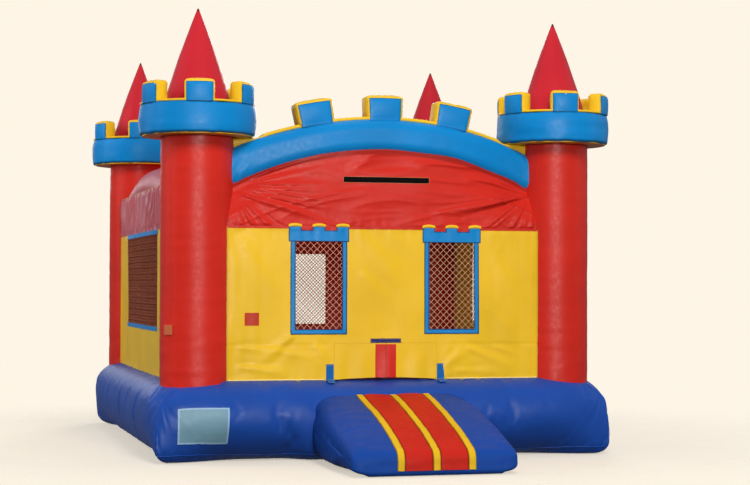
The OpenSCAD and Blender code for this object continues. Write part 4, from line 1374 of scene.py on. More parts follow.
def held_folds(a, b, x, y, seed):
    """Folds that spread from a held corner (x, y): ridged noise of the angle about it, which fades away."""
    far = np.hypot(a - x, b - y)
    angle = np.degrees(np.arctan2(y - b, np.sign(-x) * (a - x)))
    fine = ridged(drift(angle, 9 * far, 5.5, seed))
    broad = ridged(drift(angle, 6 * far, 13, seed + 1))
    return smooth((far - 0.06) / 0.3) * np.exp(-far / 1.0) * (0.8 * fine + 1.1 * broad)


def upper_relief(radius, seed):
    """Relief of an upper panel: folds drawn from its top corners, long folds under the arch and gathers."""
    fold, corner, high = sizes().fold, WALL_HALF_X - 0.02, float(arch_line(WALL_HALF_X, radius))
    drawn = [
        (corner - 0.06, high - 0.05, corner - 0.98, WALL_SPLIT + 0.1, 0.035, 1.2 * fold),
        (-corner + 0.06, high - 0.06, -corner + 0.8, WALL_SPLIT + 0.06, 0.03, 0.9 * fold),
    ]

    def relief(a, b):
        below = np.maximum(arch_line(np.clip(a, -1.4, 1.4), radius) - b, 0)
        hold = smooth(np.minimum(WALL_HALF_X - np.abs(a), below) / 0.035) * smooth((b - WALL_SPLIT) / 0.03)
        spread = held_folds(a, b, -corner, high, seed) + held_folds(a, b, corner, high, seed + 5)
        swags = ridged(drift(a, 8 * below + 0.5 * a, 0.55, seed + 2)) * np.exp(-below / 0.26)
        lean = tucked(a) * smooth(1 - below / 0.34)
        return hold * (
            creases(a, b, drawn)
            + 1.2 * fold * spread
            + 1.6 * fold * swags
            + 0.6 * sizes().sway * drift(a * 0.5, b, 0.14, seed + 3)
            + 0.8 * sizes().pucker * gathers(a, b - WALL_SPLIT, 0.045, 0.08, seed + 4)
        ) - lean

    return relief


def pleated_relief(seed):
    """Relief of an upper side panel: soft slanting folds, sharper crests and a gathered foot."""

    def relief(a, b):
        rise, fall = b - WALL_SPLIT, SIDE_WALL_TOP - b
        hold = smooth((WALL_HALF_Y - np.abs(a)) / 0.06) * smooth(rise / 0.05) * smooth(fall / 0.05)
        phase = (a + 0.35 * rise) / 0.31 + 0.9 * drift(a, b, 0.4, seed)
        deep = 0.5 + 0.5 * drift(a, b * 0.5, 0.3, seed + 1)
        broad = sizes().pleat * deep * np.sin(2 * math.pi * phase)
        crests = sizes().pleat * ridged(drift(a + 0.4 * rise, 0.22 * b, 0.1, seed + 2))
        foot = sizes().pucker * gathers(a, rise, 0.07, 0.16, seed + 3)
        return hold * (broad + crests + foot) - 0.004 * bell(fall, 0.03)

    return relief


def net(width, low, high, relief, quarter, middle=0.0, density=1.0, thick=1.0):
    """A knotted net: two families of slanting cords a diamond apart that pass over and under each other.

    A cord is the line a = c + b or a = c - b, cut at the net's edges, and waves out of its plane.
    """
    mesh, lap = sizes().mesh / density, 0.012
    half, low, high = width / 2 + lap, low - lap, high + lap
    share = np.linspace(0, 1, int((high - low) / mesh * 3))
    families = []
    for slope in (1, -1):
        least, most = sorted((-slope * low, -slope * high))
        c = np.arange(least - half, most + half, mesh)
        first, last = np.maximum(low, -half - slope * c), np.minimum(high, half - slope * c)
        long = last - first > 0.008
        b = lerp(first[long, None], last[long, None], share)
        a = middle + c[long, None] + slope * b
        over = -0.0045 + slope * 0.0011 * np.cos(2 * math.pi * b / mesh)
        centres = stood(a, relief(a, b) + over, b, quarter)
        side, out = turned(np.array([(1, 0, -slope), (0, -1, 0)]) * [[math.sqrt(0.5)], [1]], quarter)
        families.append(cords(centres, side, out, thick * sizes().cord_r))
    return joined(*families)


def outside(middle, width, low, high):
    """A test for the faces outside a window."""
    return lambda a, b: ~((np.abs(a - middle) < width / 2) & (b > low) & (b < high))


def window_frame(middle):
    """Edging on three sides of a front window, lying on the wall's relief."""
    left, right = middle - FRONT_WINDOW_W / 2, middle + FRONT_WINDOW_W / 2
    across = stops(0.012, left - FRAME_W, left, right, right + FRAME_W)
    up = stops(0.012, FRONT_WINDOW_Z - FRAME_W, FRONT_WINDOW_Z, FRONT_WINDOW_TOP + 0.004)
    open_above = outside(middle, FRONT_WINDOW_W, FRONT_WINDOW_Z, math.inf)
    return panel(across, up, front_lower_relief, -TRIM_SINK, sizes().trim, FRONT, open_above)


def window_header(middle):
    """A battlement header over a front window: three merlons with two notches between them."""
    across = stops(0.01, *[middle + HEADER_STEP * (k - 2.5) for k in range(6)])
    up = stops(0.01, FRONT_WINDOW_TOP - 0.002, HEADER_TOP - HEADER_NOTCH, HEADER_TOP)

    def solid(a, b):
        step = np.floor((a - middle) / HEADER_STEP + 2.5)
        return (b < HEADER_TOP - HEADER_NOTCH) | (step % 2 == 0)

    return panel(across, up, front_lower_relief, -TRIM_SINK, 1.8 * sizes().trim, FRONT, solid)


def header_caps(middle):
    """Domed caps on a header's merlons: puffed strips whose upper edge is an arc."""
    half, sink, dome = np.array([HEADER_STEP / 2 + 0.005, 0.006, 0.012]), 0.008, 0.007
    box, quads = puffed(half, edge=0.005, swell=0.003, counts=(14, 6, 8))
    x, y, z = box.T
    parts = []
    for step in (-2, 0, 2):
        a = middle + step * HEADER_STEP + x
        b = HEADER_TOP - sink + z + dome * (1 - (x / half[0]) ** 2)
        out = front_lower_relief(a[:, None], b[:, None])[:, 0] + half[1] - y
        parts.append(outward((stood(a, out, b, FRONT), quads)))
    return joined(*parts)


def window_piping(middle):
    """Piping along the edges of a window's edging and header: thin cords, upright ones and level ones."""
    half, wide, step = FRONT_WINDOW_W / 2, HEADER_STEP * 2.5, HEADER_STEP
    outer, low, notch = half + FRAME_W, FRONT_WINDOW_Z - FRAME_W, HEADER_TOP - HEADER_NOTCH
    rows = [
        (half, FRONT_WINDOW_Z, FRONT_WINDOW_TOP),
        (outer, low, FRONT_WINDOW_TOP),
        (wide, FRONT_WINDOW_TOP, HEADER_TOP),
        (0.5 * step, notch, HEADER_TOP),
        (1.5 * step, notch, HEADER_TOP),
    ]
    upright = np.array([(side * x, z0, z1) for x, z0, z1 in rows for side in (-1, 1)])
    level = np.array([
        (FRONT_WINDOW_Z, -half, half),
        (low, -outer, outer),
        (FRONT_WINDOW_TOP, -wide, wide),
        (notch, -1.5 * step, -0.5 * step),
        (notch, 0.5 * step, 1.5 * step),
    ])
    families, lift, radius = [], 0.0042, 0.0032
    for lines, across in ((upright, (1, 0, 0)), (level, (0, 0, 1))):
        fixed, run = np.broadcast_arrays(lines[:, :1], np.linspace(lines[:, 1], lines[:, 2], 30, axis=1))
        a, b = (middle + fixed, run) if across[0] else (middle + run, fixed)
        centres = stood(a, front_lower_relief(a, b) + lift, b, FRONT)
        families.append(cords(centres, across, (0, -1, 0), radius))
    return joined(*families)


def notch_backs(middle):
    """Red pieces behind a header's notches, a little wider than the notches."""
    reach = HEADER_STEP / 2 + 0.004
    up = stops(0.01, HEADER_TOP - HEADER_NOTCH - 0.006, HEADER_TOP + 0.004)
    return joined(*[
        panel(stops(0.01, x - reach, x + reach), up, front_lower_relief, -TRIM_SINK, 0.0016, FRONT)
        for x in (middle - HEADER_STEP, middle + HEADER_STEP)
    ])


def window_net(middle):
    """The net of a front window."""
    return net(FRONT_WINDOW_W, FRONT_WINDOW_Z, FRONT_WINDOW_TOP, front_lower_relief, FRONT, middle)


def each_window(part):
    """A part of both front windows as one surface."""
    return joined(*[part(middle) for middle in FRONT_WINDOWS])


def edge_strips(width, low, high, relief, quarter):
    """Two strips along the upper and lower edge of a wide window."""
    across = stops(0.02, -width / 2 - 0.02, width / 2 + 0.02)
    return joined(*[
        panel(across, stops(0.01, z, z + STRIP_W), relief, -TRIM_SINK, sizes().trim, quarter)
        for z in (low - STRIP_W, high)
    ])


def foot_hem(side):
    """A hem cord along the foot of the front wall, from the door to a column."""
    foot, lift, radius = BASE_H + 0.011, 0.003, 0.0048
    run = np.linspace(DOOR_HALF + 0.09, WALL_HALF_X - 0.01, 90)[None] * side
    line = stood(run, front_lower_relief(run, foot + 0 * run) + lift, foot, FRONT)
    return cords(line, (0, 1, 0), (0, 0, 1), radius, sides=8)


def lower_wall(side, colour, half, relief, window):
    """Adds the lower panel of a side or back wall, around its window."""
    reach, low, high = window["width"] / 2, window["low"], window["high"]
    across = stops(0.02, -half - WALL_LAP, -reach, reach, half + WALL_LAP)
    up = stops(0.02, BASE_H - WALL_LAP, low, high, WALL_SPLIT)
    sheet = panel(across, up, relief, -WALL_T, 0, QUARTERS[side], outside(0, **window))
    piece = fabric_piece(f"{side}_lower_panel", sheet, colour, f"{side}_wall_lower")


def upper_wall(side, radius, tuck, seed, step, rows, held_by, seam_r=None):
    """Adds a red upper panel between the level seam and an arc, with dark edges where it has a seam radius:
    seam lines with painted shade in the crevices beside them.

    Its rows spread evenly from the seam to the arc, and tuck is how far it goes into the chamber above.
    """
    quarter = QUARTERS[side]

    def spread(a, share):
        return a, lerp(WALL_SPLIT - SEAM_LAP, arch_line(a, radius + tuck), share)

    across = stops(step, -WALL_HALF_X - WALL_LAP, WALL_HALF_X + WALL_LAP)
    relief = upper_relief(radius, seed)
    sheet = panel(across, np.linspace(0, 1, rows), relief, -WALL_T, UPPER_LIFT, quarter, shape=spread)
    # Dark edges along the arch seam: seam lines with painted shade in the crevices beside them
    dark = seam_shaded(sheet, WALL_HALF_X, WALL_SPLIT, lambda a: arch_line(a, seam_r), quarter) if seam_r else None
    piece = fabric_piece(f"{side}_upper_panel", sheet, "red", f"{side}_wall_upper", seam=dark)


def front_lower_wall():
    """Adds the front wall's lower panel, around the door and the windows."""
    door_half = FLAP_HIGH[0] + 0.0008
    sides = [middle + side * FRONT_WINDOW_W / 2 for middle in FRONT_WINDOWS for side in (-1, 1)]
    across = stops(0.016, -WALL_HALF_X - WALL_LAP, -door_half, door_half, WALL_HALF_X + WALL_LAP, *sides)
    hem = (WALL_SPLIT - 0.012, WALL_SPLIT - 0.005, WALL_SPLIT)
    up = stops(0.016, BASE_H - WALL_LAP, SEAM_Z, DOOR_Z, FRONT_WINDOW_Z, FRONT_WINDOW_TOP, *hem)
    holes = [outside(0, 2 * door_half, 0, DOOR_Z)]
    holes += [outside(middle, FRONT_WINDOW_W, FRONT_WINDOW_Z, FRONT_WINDOW_TOP) for middle in FRONT_WINDOWS]

    def solid(a, b):
        return np.all([hole(a, b) for hole in holes], axis=0)

    sheet = panel(across, up, front_lower_relief, -WALL_T, 0, FRONT, solid)
    # Dark edges: seam lines with painted shade in the crevices beside them
    dark = seam_shaded(sheet, WALL_HALF_X, BASE_H, WALL_SPLIT, FRONT)
    piece = fabric_piece("front_lower_panel", sheet, "yellow", "front_wall_lower", seam=dark)


def hook_strip():
    """Adds the hook strip on the front wall's upper panel, and the hem around it."""
    relief, rim = upper_relief(UPPER_PANEL_R, FRONT_UPPER_SEED), 0.005
    x, (_, _, low), (_, _, high) = HOOK_HIGH[0], HOOK_LOW, HOOK_HIGH
    tape = panel(stops(0.015, -x, x), stops(0.008, low, high), relief, -TRIM_SINK, sizes().trim, FRONT)
    add_piece("hook_strip_tape", tape, webbing("black"), "black_webbing", "hook_strip")
    across, up = stops(0.015, -x - rim, -x, x, x + rim), stops(0.008, low - rim, low, high, high + rim)
    hem = panel(across, up, relief, -TRIM_SINK, 0.002, FRONT, outside(0, 2 * x, low, high))
    fabric_piece("hook_strip_hem", hem, "tan")


class HOUSE_OT_front_wall(bpy.types.Operator):
    """Front wall: yellow lower panel, red upper panel, windows with nets, edging and headers, hook strip"""

    bl_idname = "bounce_house.front_wall"
    bl_label = "Front wall"

    def execute(self, context):
        front_lower_wall()
        arch = {"held_by": "front_arch_skin", "seam_r": ARCH_R}
        upper_wall("front", UPPER_PANEL_R, tuck=0.01, seed=FRONT_UPPER_SEED, step=0.009, rows=84, **arch)
        across = stops(0.012, -WALL_HALF_X, WALL_HALF_X)
        up = stops(0.006, WALL_SPLIT - 0.014, WALL_SPLIT + SEAM_LAP)
        fabric_piece("front_seam_hem", panel(across, up, front_lower_relief, 0, 0.0032, FRONT), "red")
        trims = [part(middle) for middle in FRONT_WINDOWS for part in (window_frame, window_header)]
        rims, node = rimmed(*trims), "front_window_surrounds"
        fabric_piece("front_window_edging", joined(*trims), "sky_blue", node, seam=rims)
        fabric_piece("front_window_piping", each_window(window_piping), "piping")
        # The hem cords are real; their pale colour is a painted highlight along the wall's foot
        for name, side in SIDES.items():
            fabric_piece(f"front_wall_{name}_hem", foot_hem(side), "hem")
        fabric_piece("window_header_caps", each_window(header_caps), "yellow")
        fabric_piece("window_notch_backs", each_window(notch_backs), "red")
        add_piece("front_nets", each_window(window_net), net_cord(), "net_cord", "front_window_nets")
        hook_strip()
        return {"FINISHED"}


class HOUSE_OT_side_walls(bpy.types.Operator):
    """Side walls: yellow lower panels, pleated red upper panels, wide nets, and the edging of wide windows"""

    bl_idname = "bounce_house.side_walls"
    bl_label = "Side walls"

    def execute(self, context):
        strips = []
        for side, seed in (("left", 101), ("right", 131)):
            quarter, relief, pleats = QUARTERS[side], wall_relief(seed, WALL_HALF_Y), pleated_relief(seed + 9)
            lower_wall(side, "yellow", WALL_HALF_Y, relief, SIDE_WINDOW)
            across = stops(0.014, -WALL_HALF_Y - WALL_LAP, WALL_HALF_Y + WALL_LAP)
            up = stops(0.014, WALL_SPLIT - SEAM_LAP, SIDE_WALL_TOP)
            sheet = panel(across, up, pleats, -WALL_T, UPPER_LIFT, quarter)
            # The upper side panel takes the paler red of painted sheen
            piece = fabric_piece(f"{side}_upper_panel", sheet, "rose", f"{side}_wall_upper")
            strips.append(edge_strips(**SIDE_WINDOW, relief=relief, quarter=quarter))
            mesh = net(**SIDE_WINDOW, relief=relief, quarter=quarter, thick=1.5)
            # The side net takes the darker cord colour of painted shade
            add_piece(f"{side}_net", mesh, net_cord("dark_cord"), "net_cord", f"{side}_window_net")
            across = stops(0.02, -WALL_HALF_Y, WALL_HALF_Y)
            up = stops(0.006, SIDE_WALL_TOP - 0.014, SIDE_WALL_TOP - 0.002)
            fabric_piece(f"{side}_top_seam", panel(across, up, pleats, 0, 0.003, quarter), "tan")
        strips.append(edge_strips(**BACK_WINDOW, relief=wall_relief(BACK_SEED, WALL_HALF_X), quarter=BACK))
        fabric_piece("wide_window_edging", joined(*strips), "sky_blue", "window_strips")
        return {"FINISHED"}


class HOUSE_OT_back_wall(bpy.types.Operator):
    """Back wall: red panels and a net"""

    bl_idname = "bounce_house.back_wall"
    bl_label = "Back wall"

    def execute(self, context):
        relief = wall_relief(BACK_SEED, WALL_HALF_X)
        lower_wall("back", "red", WALL_HALF_X, relief, BACK_WINDOW)
        upper_wall("back", BACK_BEAM_ARC, tuck=0, seed=161, step=0.014, rows=48, held_by="back_beam_skin")
        mesh = net(**BACK_WINDOW, relief=relief, quarter=BACK, density=1.5, thick=1.6)
        # The back net takes the darker cord colour of painted shade
        add_piece("back_net", mesh, net_cord("dark_cord"), "net_cord", "back_window_net")
        return {"FINISHED"}


# Door


def flap_relief(a, b):
    """Relief of a door flap: upright waves that grow from the hinge down, level at the hinge."""
    hang = smooth((FLAP_HIGH[2] - b - 0.006) / 0.2) * smooth((FLAP_HIGH[0] - np.abs(a)) / 0.12)
    return hang * (0.006 * np.sin(2 * math.pi * a / 0.24 + 0.6) + 0.004 * drift(a, b * 0.3, 0.1, 171))


def flap(side):
    """A door flap: a hanging sheet whose lower edge rises towards the slit, with a round hem at the hinge."""
    (inner, back, low), (outer, front, high) = FLAP_LOW, FLAP_HIGH

    def lifted(a, b):
        return a, b + FLAP_RISE * (high - b) / (high - low) * (1 - (a / outer) ** 2)

    across, up = stops(0.012, side * inner, side * outer), stops(0.012, low, high - 0.004)
    sheet = panel(across, up, flap_relief, -WALL_T, 0, FRONT, shape=lifted)
    run, radius = np.linspace(side * inner, side * outer, 40), 0.0027
    line = xyz(run, (back + front) / 2, high - radius)
    return joined(sheet, cords(line[None], (0, 1, 0), (0, 0, 1), radius, 10))


def grip(side):
    """The strip beside the slit, on the flap's relief."""
    (inner, _, low), (outer, _, high) = corners("door_grip_right")

    def lifted(a, b):
        return a, b + FLAP_RISE * (high - b) / (high - low)

    across, up = stops(0.012, side * inner, side * outer), stops(0.012, low, high)
    return panel(across, up, flap_relief, 0.0002, 1.1 * sizes().trim, FRONT, shape=lifted)


def strap(side):
    """A hold-down strap: webbing down the wall, round a small arc and out over the base's round edge.

    Gives the webbing and its stitches, a box at the front end and a row at the top.
    """
    _, front, _ = STRAP_LOW
    outer, _, top = STRAP_HIGH
    width, bend, lift, wall = outer - DOOR_HALF - 0.003, 0.012, 0.009, -WALL_Y - 0.0025
    x = side * (outer - width / 2)
    out, up = base_section().T
    over = np.flatnonzero((up > BASE_H / 2) & (out > -0.5))
    seat = np.linspace(wall - bend, front, 24)
    seat_z = np.interp(-seat - BASE_Y + BASE_SWELL, out[over], up[over]) + lift
    upright = [(wall, top), (wall, seat_z[0] + 0.06)]
    corner = arc(wall - bend, seat_z[0] + bend, bend, 0, -90, 8)
    path = evenly(np.vstack([upright, corner, np.column_stack([seat, seat_z])[1:]]), 60, closed=False)
    inset, near, far = width / 2 - 0.008, front + 0.008, front + 0.058
    run, depth, ones = np.linspace(-inset, inset, 9), np.linspace(near, far, 9), np.ones(9)
    y = np.concatenate([near * ones, depth, far * ones, depth[::-1]])
    ends = np.concatenate([run, inset * ones, run[::-1], -inset * ones])
    box = np.column_stack([x + ends, y, np.interp(y, seat[::-1], seat_z[::-1]) + 0.0022])
    row = [(x + end, wall - 0.0018, top - 0.01) for end in (-inset, inset)]
    seams = joined(stitches(box, (0, -0.4, 0.9), sizes().stitch), stitches(row, (0, -1, 0), sizes().stitch))
    line = np.column_stack([np.full(len(path), x), path])
    return ribbon(line, (1, 0, 0), width, sizes().trim), seams


class HOUSE_OT_door(bpy.types.Operator):
    """Two hanging door flaps with their grips, the bar over the slit and the hold-down straps"""

    bl_idname = "bounce_house.door"
    bl_label = "Door"

    def execute(self, context):
        for name, side in SIDES.items():
            ride = {"body": f"{name}_flap"}
            sheet = fabric_piece(f"door_{name}_sheet", flap(side), "yellow", f"door_flap_{name}", **ride)
            strip = fabric_piece(f"door_{name}_grip", grip(side), "red", f"door_grip_{name}", **ride)
        (half, _, high), low, thick, inset = DOOR_BAR_HIGH, DOOR_BAR_LOW[2], 1.4 * sizes().trim, 0.006
        bar = panel(stops(0.012, -half, half), stops(0.006, low, high), front_lower_relief, 0, thick, FRONT)
        add_piece("door_bar_strip", bar, webbing("navy"), "navy_webbing", "door_bar")
        a, c, d, y = half - inset, low + inset, high - inset, -WALL_Y - thick
        loop = [(-a, y, c), (a, y, c), (a, y, d), (-a, y, d), (-a, y, c)]
        loop = stitches(loop, (0, -1, 0), sizes().stitch)
        straps, seams = zip(*[strap(side) for side in SIDES.values()])
        straps, finish = joined(*straps), webbing("strap")
        add_piece("hold_down_webbing", straps, finish, "sky_blue_fabric", "hold_down_straps")
        add_piece("door_stitching", joined(loop, *seams), net_cord(), "net_cord")
        return {"FINISHED"}


# Ramp


def ramp_profile(count=200):
    """Outline (forwards, up) of the ramp: up the base, down the slope, round the front edge, back below."""
    front, back, foot_r, foot_z = -RAMP_LOW[1], BASE_Y, 0.03, 0.004
    slope = math.atan2(RAMP_HIGH[2] - 0.005 - RAMP_FRONT_Z, front - back)
    edge_z = RAMP_FRONT_Z - RAMP_EDGE_R * math.tan((math.pi / 2 - slope) / 2)
    turn = arc(front - RAMP_EDGE_R, edge_z, RAMP_EDGE_R, 90 - math.degrees(slope), 0, 14)
    top_z = turn[0, 1] + (turn[0, 0] - back) * math.tan(slope)
    share = np.linspace(0, 1, 40)[1:-1, None]
    swell = 0.022 * np.sin(math.pi * share) * (math.sin(slope), math.cos(slope))
    down = lerp(np.array([back, top_z]), turn[0], share) + swell
    foot = arc(front - foot_r, foot_r + foot_z, foot_r, 0, -90, 6)
    return evenly(np.vstack([[(back, foot_z), (back, top_z)], down, turn, foot]), count)


def ramp_relief(x, ring):
    """The ramp's relief: broad waves, gathers along its edges and level creases."""
    forwards, up = ring.T
    side = 0.6 - np.abs(x)
    shown = smooth((up - 0.03) / 0.06) * smooth((forwards - BASE_Y - 0.01) / 0.05)
    return shown * (
        0.008 * drift(x, forwards + up, 0.34, 181)
        + 0.0035 * drift(x * 0.35, forwards - up, 0.07, 182)
        + sizes().pucker * gathers(forwards - up, side, 0.05, 0.12, 183)
    )


def ramp():
    """The ramp: its outline carried across, closed at each side as a cushion is, and blown up.

    At the sides the outline shrinks to its middle line as cos^0.5 while it moves out as sin^0.9. Also
    gives the lines across, which the strips need to follow the grid.
    """
    ring = ramp_profile()
    half, front, edge, bulge = RAMP_HIGH[0], -RAMP_LOW[1], 0.1, 0.085
    middle = np.clip(ring[:, 0], BASE_Y + 0.05, front - 0.1)
    spine = np.column_stack([middle, np.interp(middle, [BASE_Y, front], [RAMP_HIGH[2], RAMP_FRONT_Z]) / 2])
    flat = np.linspace(-half + edge, half - edge, 91)
    swing = np.linspace(0, math.pi / 2, 26)[1:]
    shrink = np.cos(swing) ** 0.5 * 0.97 + 0.03
    out = half - edge + (edge + bulge) * np.sin(swing) ** 0.9
    x = np.concatenate([-out[::-1], flat, out])
    keep = np.concatenate([shrink[::-1], np.ones(len(flat)), shrink])[:, None, None]
    relief = ramp_relief(x[:, None], ring)[..., None] * ring_normals(ring)
    forwards, up = np.moveaxis(spine + (ring - spine + relief) * keep, -1, 0)
    points = xyz(x[:, None], -forwards, np.maximum(up, 0.002))
    seams = (np.abs(np.abs(x) - half + edge) < 0.004)[:, None] & (points[..., 2] > 0.05)
    held = seams | (points[..., 2] < 0.006) | (points[..., 1] > -BASE_Y - 0.03)
    return inflated(points, held, most=0.016), x


def ramp_strip(cushion, lines, middle, width, seed):
    """A strip over the slope and the front: a shallow cushion on the ramp's grid, with dark seams beside it.

    Gives the surface and how dark each of its points is.
    """
    ring = ramp_profile()
    normal = ring_normals(ring)
    on = np.flatnonzero((normal[:, 1] > -0.2) & (ring[:, 0] > BASE_Y + 0.028) & (ring[:, 1] > 0.03))
    v = np.linspace(on[0], on[-1], 3 * len(on))
    local = np.sin(np.linspace(-math.pi / 2, math.pi / 2, 21))
    x = middle + local * width / 2
    u, v = grid(np.interp(x, lines, np.arange(len(lines))), v)
    place = between(cushion, u, v)
    out = unit(np.cross(np.gradient(place, axis=0), np.gradient(place, axis=1)))
    out *= np.sign(out[..., 2].mean())
    puff = 0.002 + (0.007 + 0.003 * drift(x[:, None], place[..., 1], 0.09, seed)) * (1 - local[:, None] ** 4)
    surface = outward(slab(place + out * puff[..., None], place - 0.005 * out))
    dark = np.broadcast_to(smooth(1.3 - (1 - np.abs(local[:, None])) * width / 0.014), puff.shape).ravel()
    return surface, np.concatenate([dark, dark])


class HOUSE_OT_ramp(bpy.types.Operator):
    """Entrance ramp with two treads and three stripes"""

    bl_idname = "bounce_house.ramp"
    bl_label = "Ramp"

    def execute(self, context):
        cushion, lines = ramp()
        skin = closed_tube(cushion)
        # The ramp's skin and strips are darkened as painted shade on their upward faces, and less glossy from
        # wear
        fabric_piece("ramp_cushion_skin", skin, "royal_blue", "ramp_cushion", trodden=True, fill=0.95)
        step = STRIPE_W + TREAD_W
        for name, colour, places, width in (
            ("ramp_stripe", "yellow", (-1, 0, 1), STRIPE_W),
            ("ramp_tread", "red", (-0.5, 0.5), TREAD_W),
        ):
            strips, seams = zip(*[ramp_strip(cushion, lines, k * step, width, 195 + 2 * k) for k in places])
            look = {"trodden": True, "fill": 0.4, "seam": np.concatenate(seams)}
            fabric_piece(f"{name}_strips", joined(*strips), colour, f"{name}s", **look)
        return {"FINISHED"}


# Fittings at the back


def inlet():
    """The air inlet: a limp sleeve as a closed wall section turned about its axis, with folds and a hem."""
    (low_x, start, low_z), (high_x, end, high_z) = INLET_LOW, INLET_HIGH
    long, outer = end - start, (high_x - low_x) / 2
    out = np.linspace(0, long, 40)
    hem = 0.003 * smooth((out - long + 0.05) / 0.008)
    skin = np.column_stack([outer - 0.006 + hem, out])
    section = np.vstack([skin, (skin - np.column_stack([WALL_T + hem, 0 * hem]))[::-1]])[::-1]

    def relief(turn, radius, up):
        folds = 0.005 * drift(turn, up / 0.9, 1 / 9, 201, 9) - 0.003
        return folds * smooth(up / 0.08) * np.where(radius > outer - 0.009, 1, -1)

    points, quads = lathe(section, 120, relief, closed=True)
    return outward((points[:, [0, 2, 1]] + ((low_x + high_x) / 2, start, (low_z + high_z) / 2), quads))


def zip_parts():
    """The zip's tape, a gently waved strip, and its chain: two rows of teeth as small puffed boxes."""
    x0, x1, mid = ZIP_LOW[0], ZIP_HIGH[0], (ZIP_LOW[2] + ZIP_HIGH[2]) / 2
    a, b = grid(np.linspace(x0, x1, 120), np.linspace(ZIP_LOW[2], ZIP_HIGH[2], 14))
    away = np.abs(b - mid)
    wave = 0.0012 * drift(a, b, 0.04, 211) * smooth((away - 0.012) / 0.01)
    grids = [xyz(a, ZIP_LOW[1] + over + wave, b) for over in (0.0029, 0.0003)]
    tape = outward(slab(*grids))
    tooth, quads = puffed((0.0011, 0.002, 0.0029), edge=0.0008, swell=0.0001, counts=(3, 3, 4))
    margin, pitch, shift, depth = 0.012, 0.0032, 0.0014, 0.0021
    place = np.arange(x0 + margin, x1 - margin, pitch)
    high = mid + np.where(np.arange(len(place)) % 2, shift, -shift)
    centre = xyz(place, ZIP_HIGH[1] - depth, high)
    points = (centre[:, None] + tooth).reshape(-1, 3)
    faces = (quads + (np.arange(len(place)) * len(tooth))[:, None, None]).reshape(-1, 4)
    return tape, outward((points, faces))


def anchor_tab(side):
    """A webbing tab and its stitches: down the base, round the ring's bar and back up behind itself."""
    middle, thick = (RING_LOW[0] + RING_HIGH[0]) / 2, 0.004
    x, half = side * middle, TAB_HIGH[0] - middle
    y, top = TAB_LOW[1] + thick / 2, TAB_HIGH[2]
    turn_r = (TAB_HIGH[1] - TAB_LOW[1]) / 2 - thick / 2
    loop = arc(y + turn_r, ANCHOR_BAR_Z, turn_r, 180, 180 + 318, 30)
    path = evenly(np.vstack([[(y, top)], loop]), 90, closed=False)
    left, right, low, high = x - half + 0.006, x + half - 0.006, top - 0.052, top - 0.008
    box = [(left, low), (right, low), (right, high), (left, high), (left, low), (right, high)]
    seam = [(a, y + thick / 2 + 0.0004, b) for a, b in box]
    line = np.column_stack([np.full(len(path), x), path])
    return ribbon(line, (1, 0, 0), 2 * half, thick), stitches(seam, (0, 1, 0), sizes().stitch)


class HOUSE_OT_fittings(bpy.types.Operator):
    """Air inlet, deflation zip and anchor tabs on the back, and the steel of rings and slider"""

    bl_idname = "bounce_house.fittings"
    bl_label = "Fittings"

    def execute(self, context):
        sleeve = fabric_piece("air_inlet_sleeve", inlet(), "royal_blue", "inlet_sleeve")
        tape, teeth = zip_parts()
        add_piece("zip_tape_strip", tape, webbing("black"), "black_webbing", "zip_tape")
        fabric_piece("zip_teeth", teeth, "black")
        tabs, seams = zip(*[anchor_tab(side) for side in SIDES.values()])
        add_piece("anchor_webbing", joined(*tabs), webbing("black"), "black_webbing", "anchor_tabs")
        add_piece("anchor_stitching", joined(*seams), net_cord(), "net_cord")
        for node in ("zip_slider", "anchor_ring_left", "anchor_ring_right"):
            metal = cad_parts[node]
            metal.data.materials.clear()
            metal.data.materials.append(galvanised_steel())
        return {"FINISHED"}


# Bare patches


def column_patch():
    """A bare patch on the front left column: a piece of a cylinder just outside its skin."""
    angle, up = np.radians(np.linspace(*COLUMN_PATCH_DEG, 16))[:, None], np.linspace(*COLUMN_PATCH_Z, 12)
    surface = slab(*[around(angle, radius, up) for radius in (COLUMN_R + 0.0085, COLUMN_R - 0.006)])
    return moved(surface, -COLUMN_X, -COLUMN_Y)


class HOUSE_OT_patches(bpy.types.Operator):
    """Bare patches on a column and the front wall"""

    bl_idname = "bounce_house.patches"
    bl_label = "Bare patches"

    def execute(self, context):
        fabric_piece("column_bare_patch", column_patch(), "tan")
        across, up = stops(0.012, *WALL_PATCH_X), stops(0.012, *WALL_PATCH_Z)
        sheet = panel(across, up, front_lower_relief, -TRIM_SINK, 0.0025, FRONT)
        fabric_piece("wall_bare_patch", sheet, "rust")
        return {"FINISHED"}


# Stage

CAMERA_PLACE = (-3.967, -16.66335, 1.47034)
CAMERA_YAW, CAMERA_PITCH, CAMERA_ROLL = 0.26008, 0.02445, 0.00292
FOCAL_PIXELS, PHOTO_WIDTH, SENSOR_MM, FARTHEST = 1756.9, 750, 36, 200
FLOOR_R, FLOOR_Z, FADE_START, FADE_END = 40, -0.003, 2.6, 6.0
AMBIENT, SKY_LIGHT, GROUND_LIGHT, GLOSS_LIGHT = (0.95, 0.97, 1.0, 1), 0.2, 0.02, 0.12

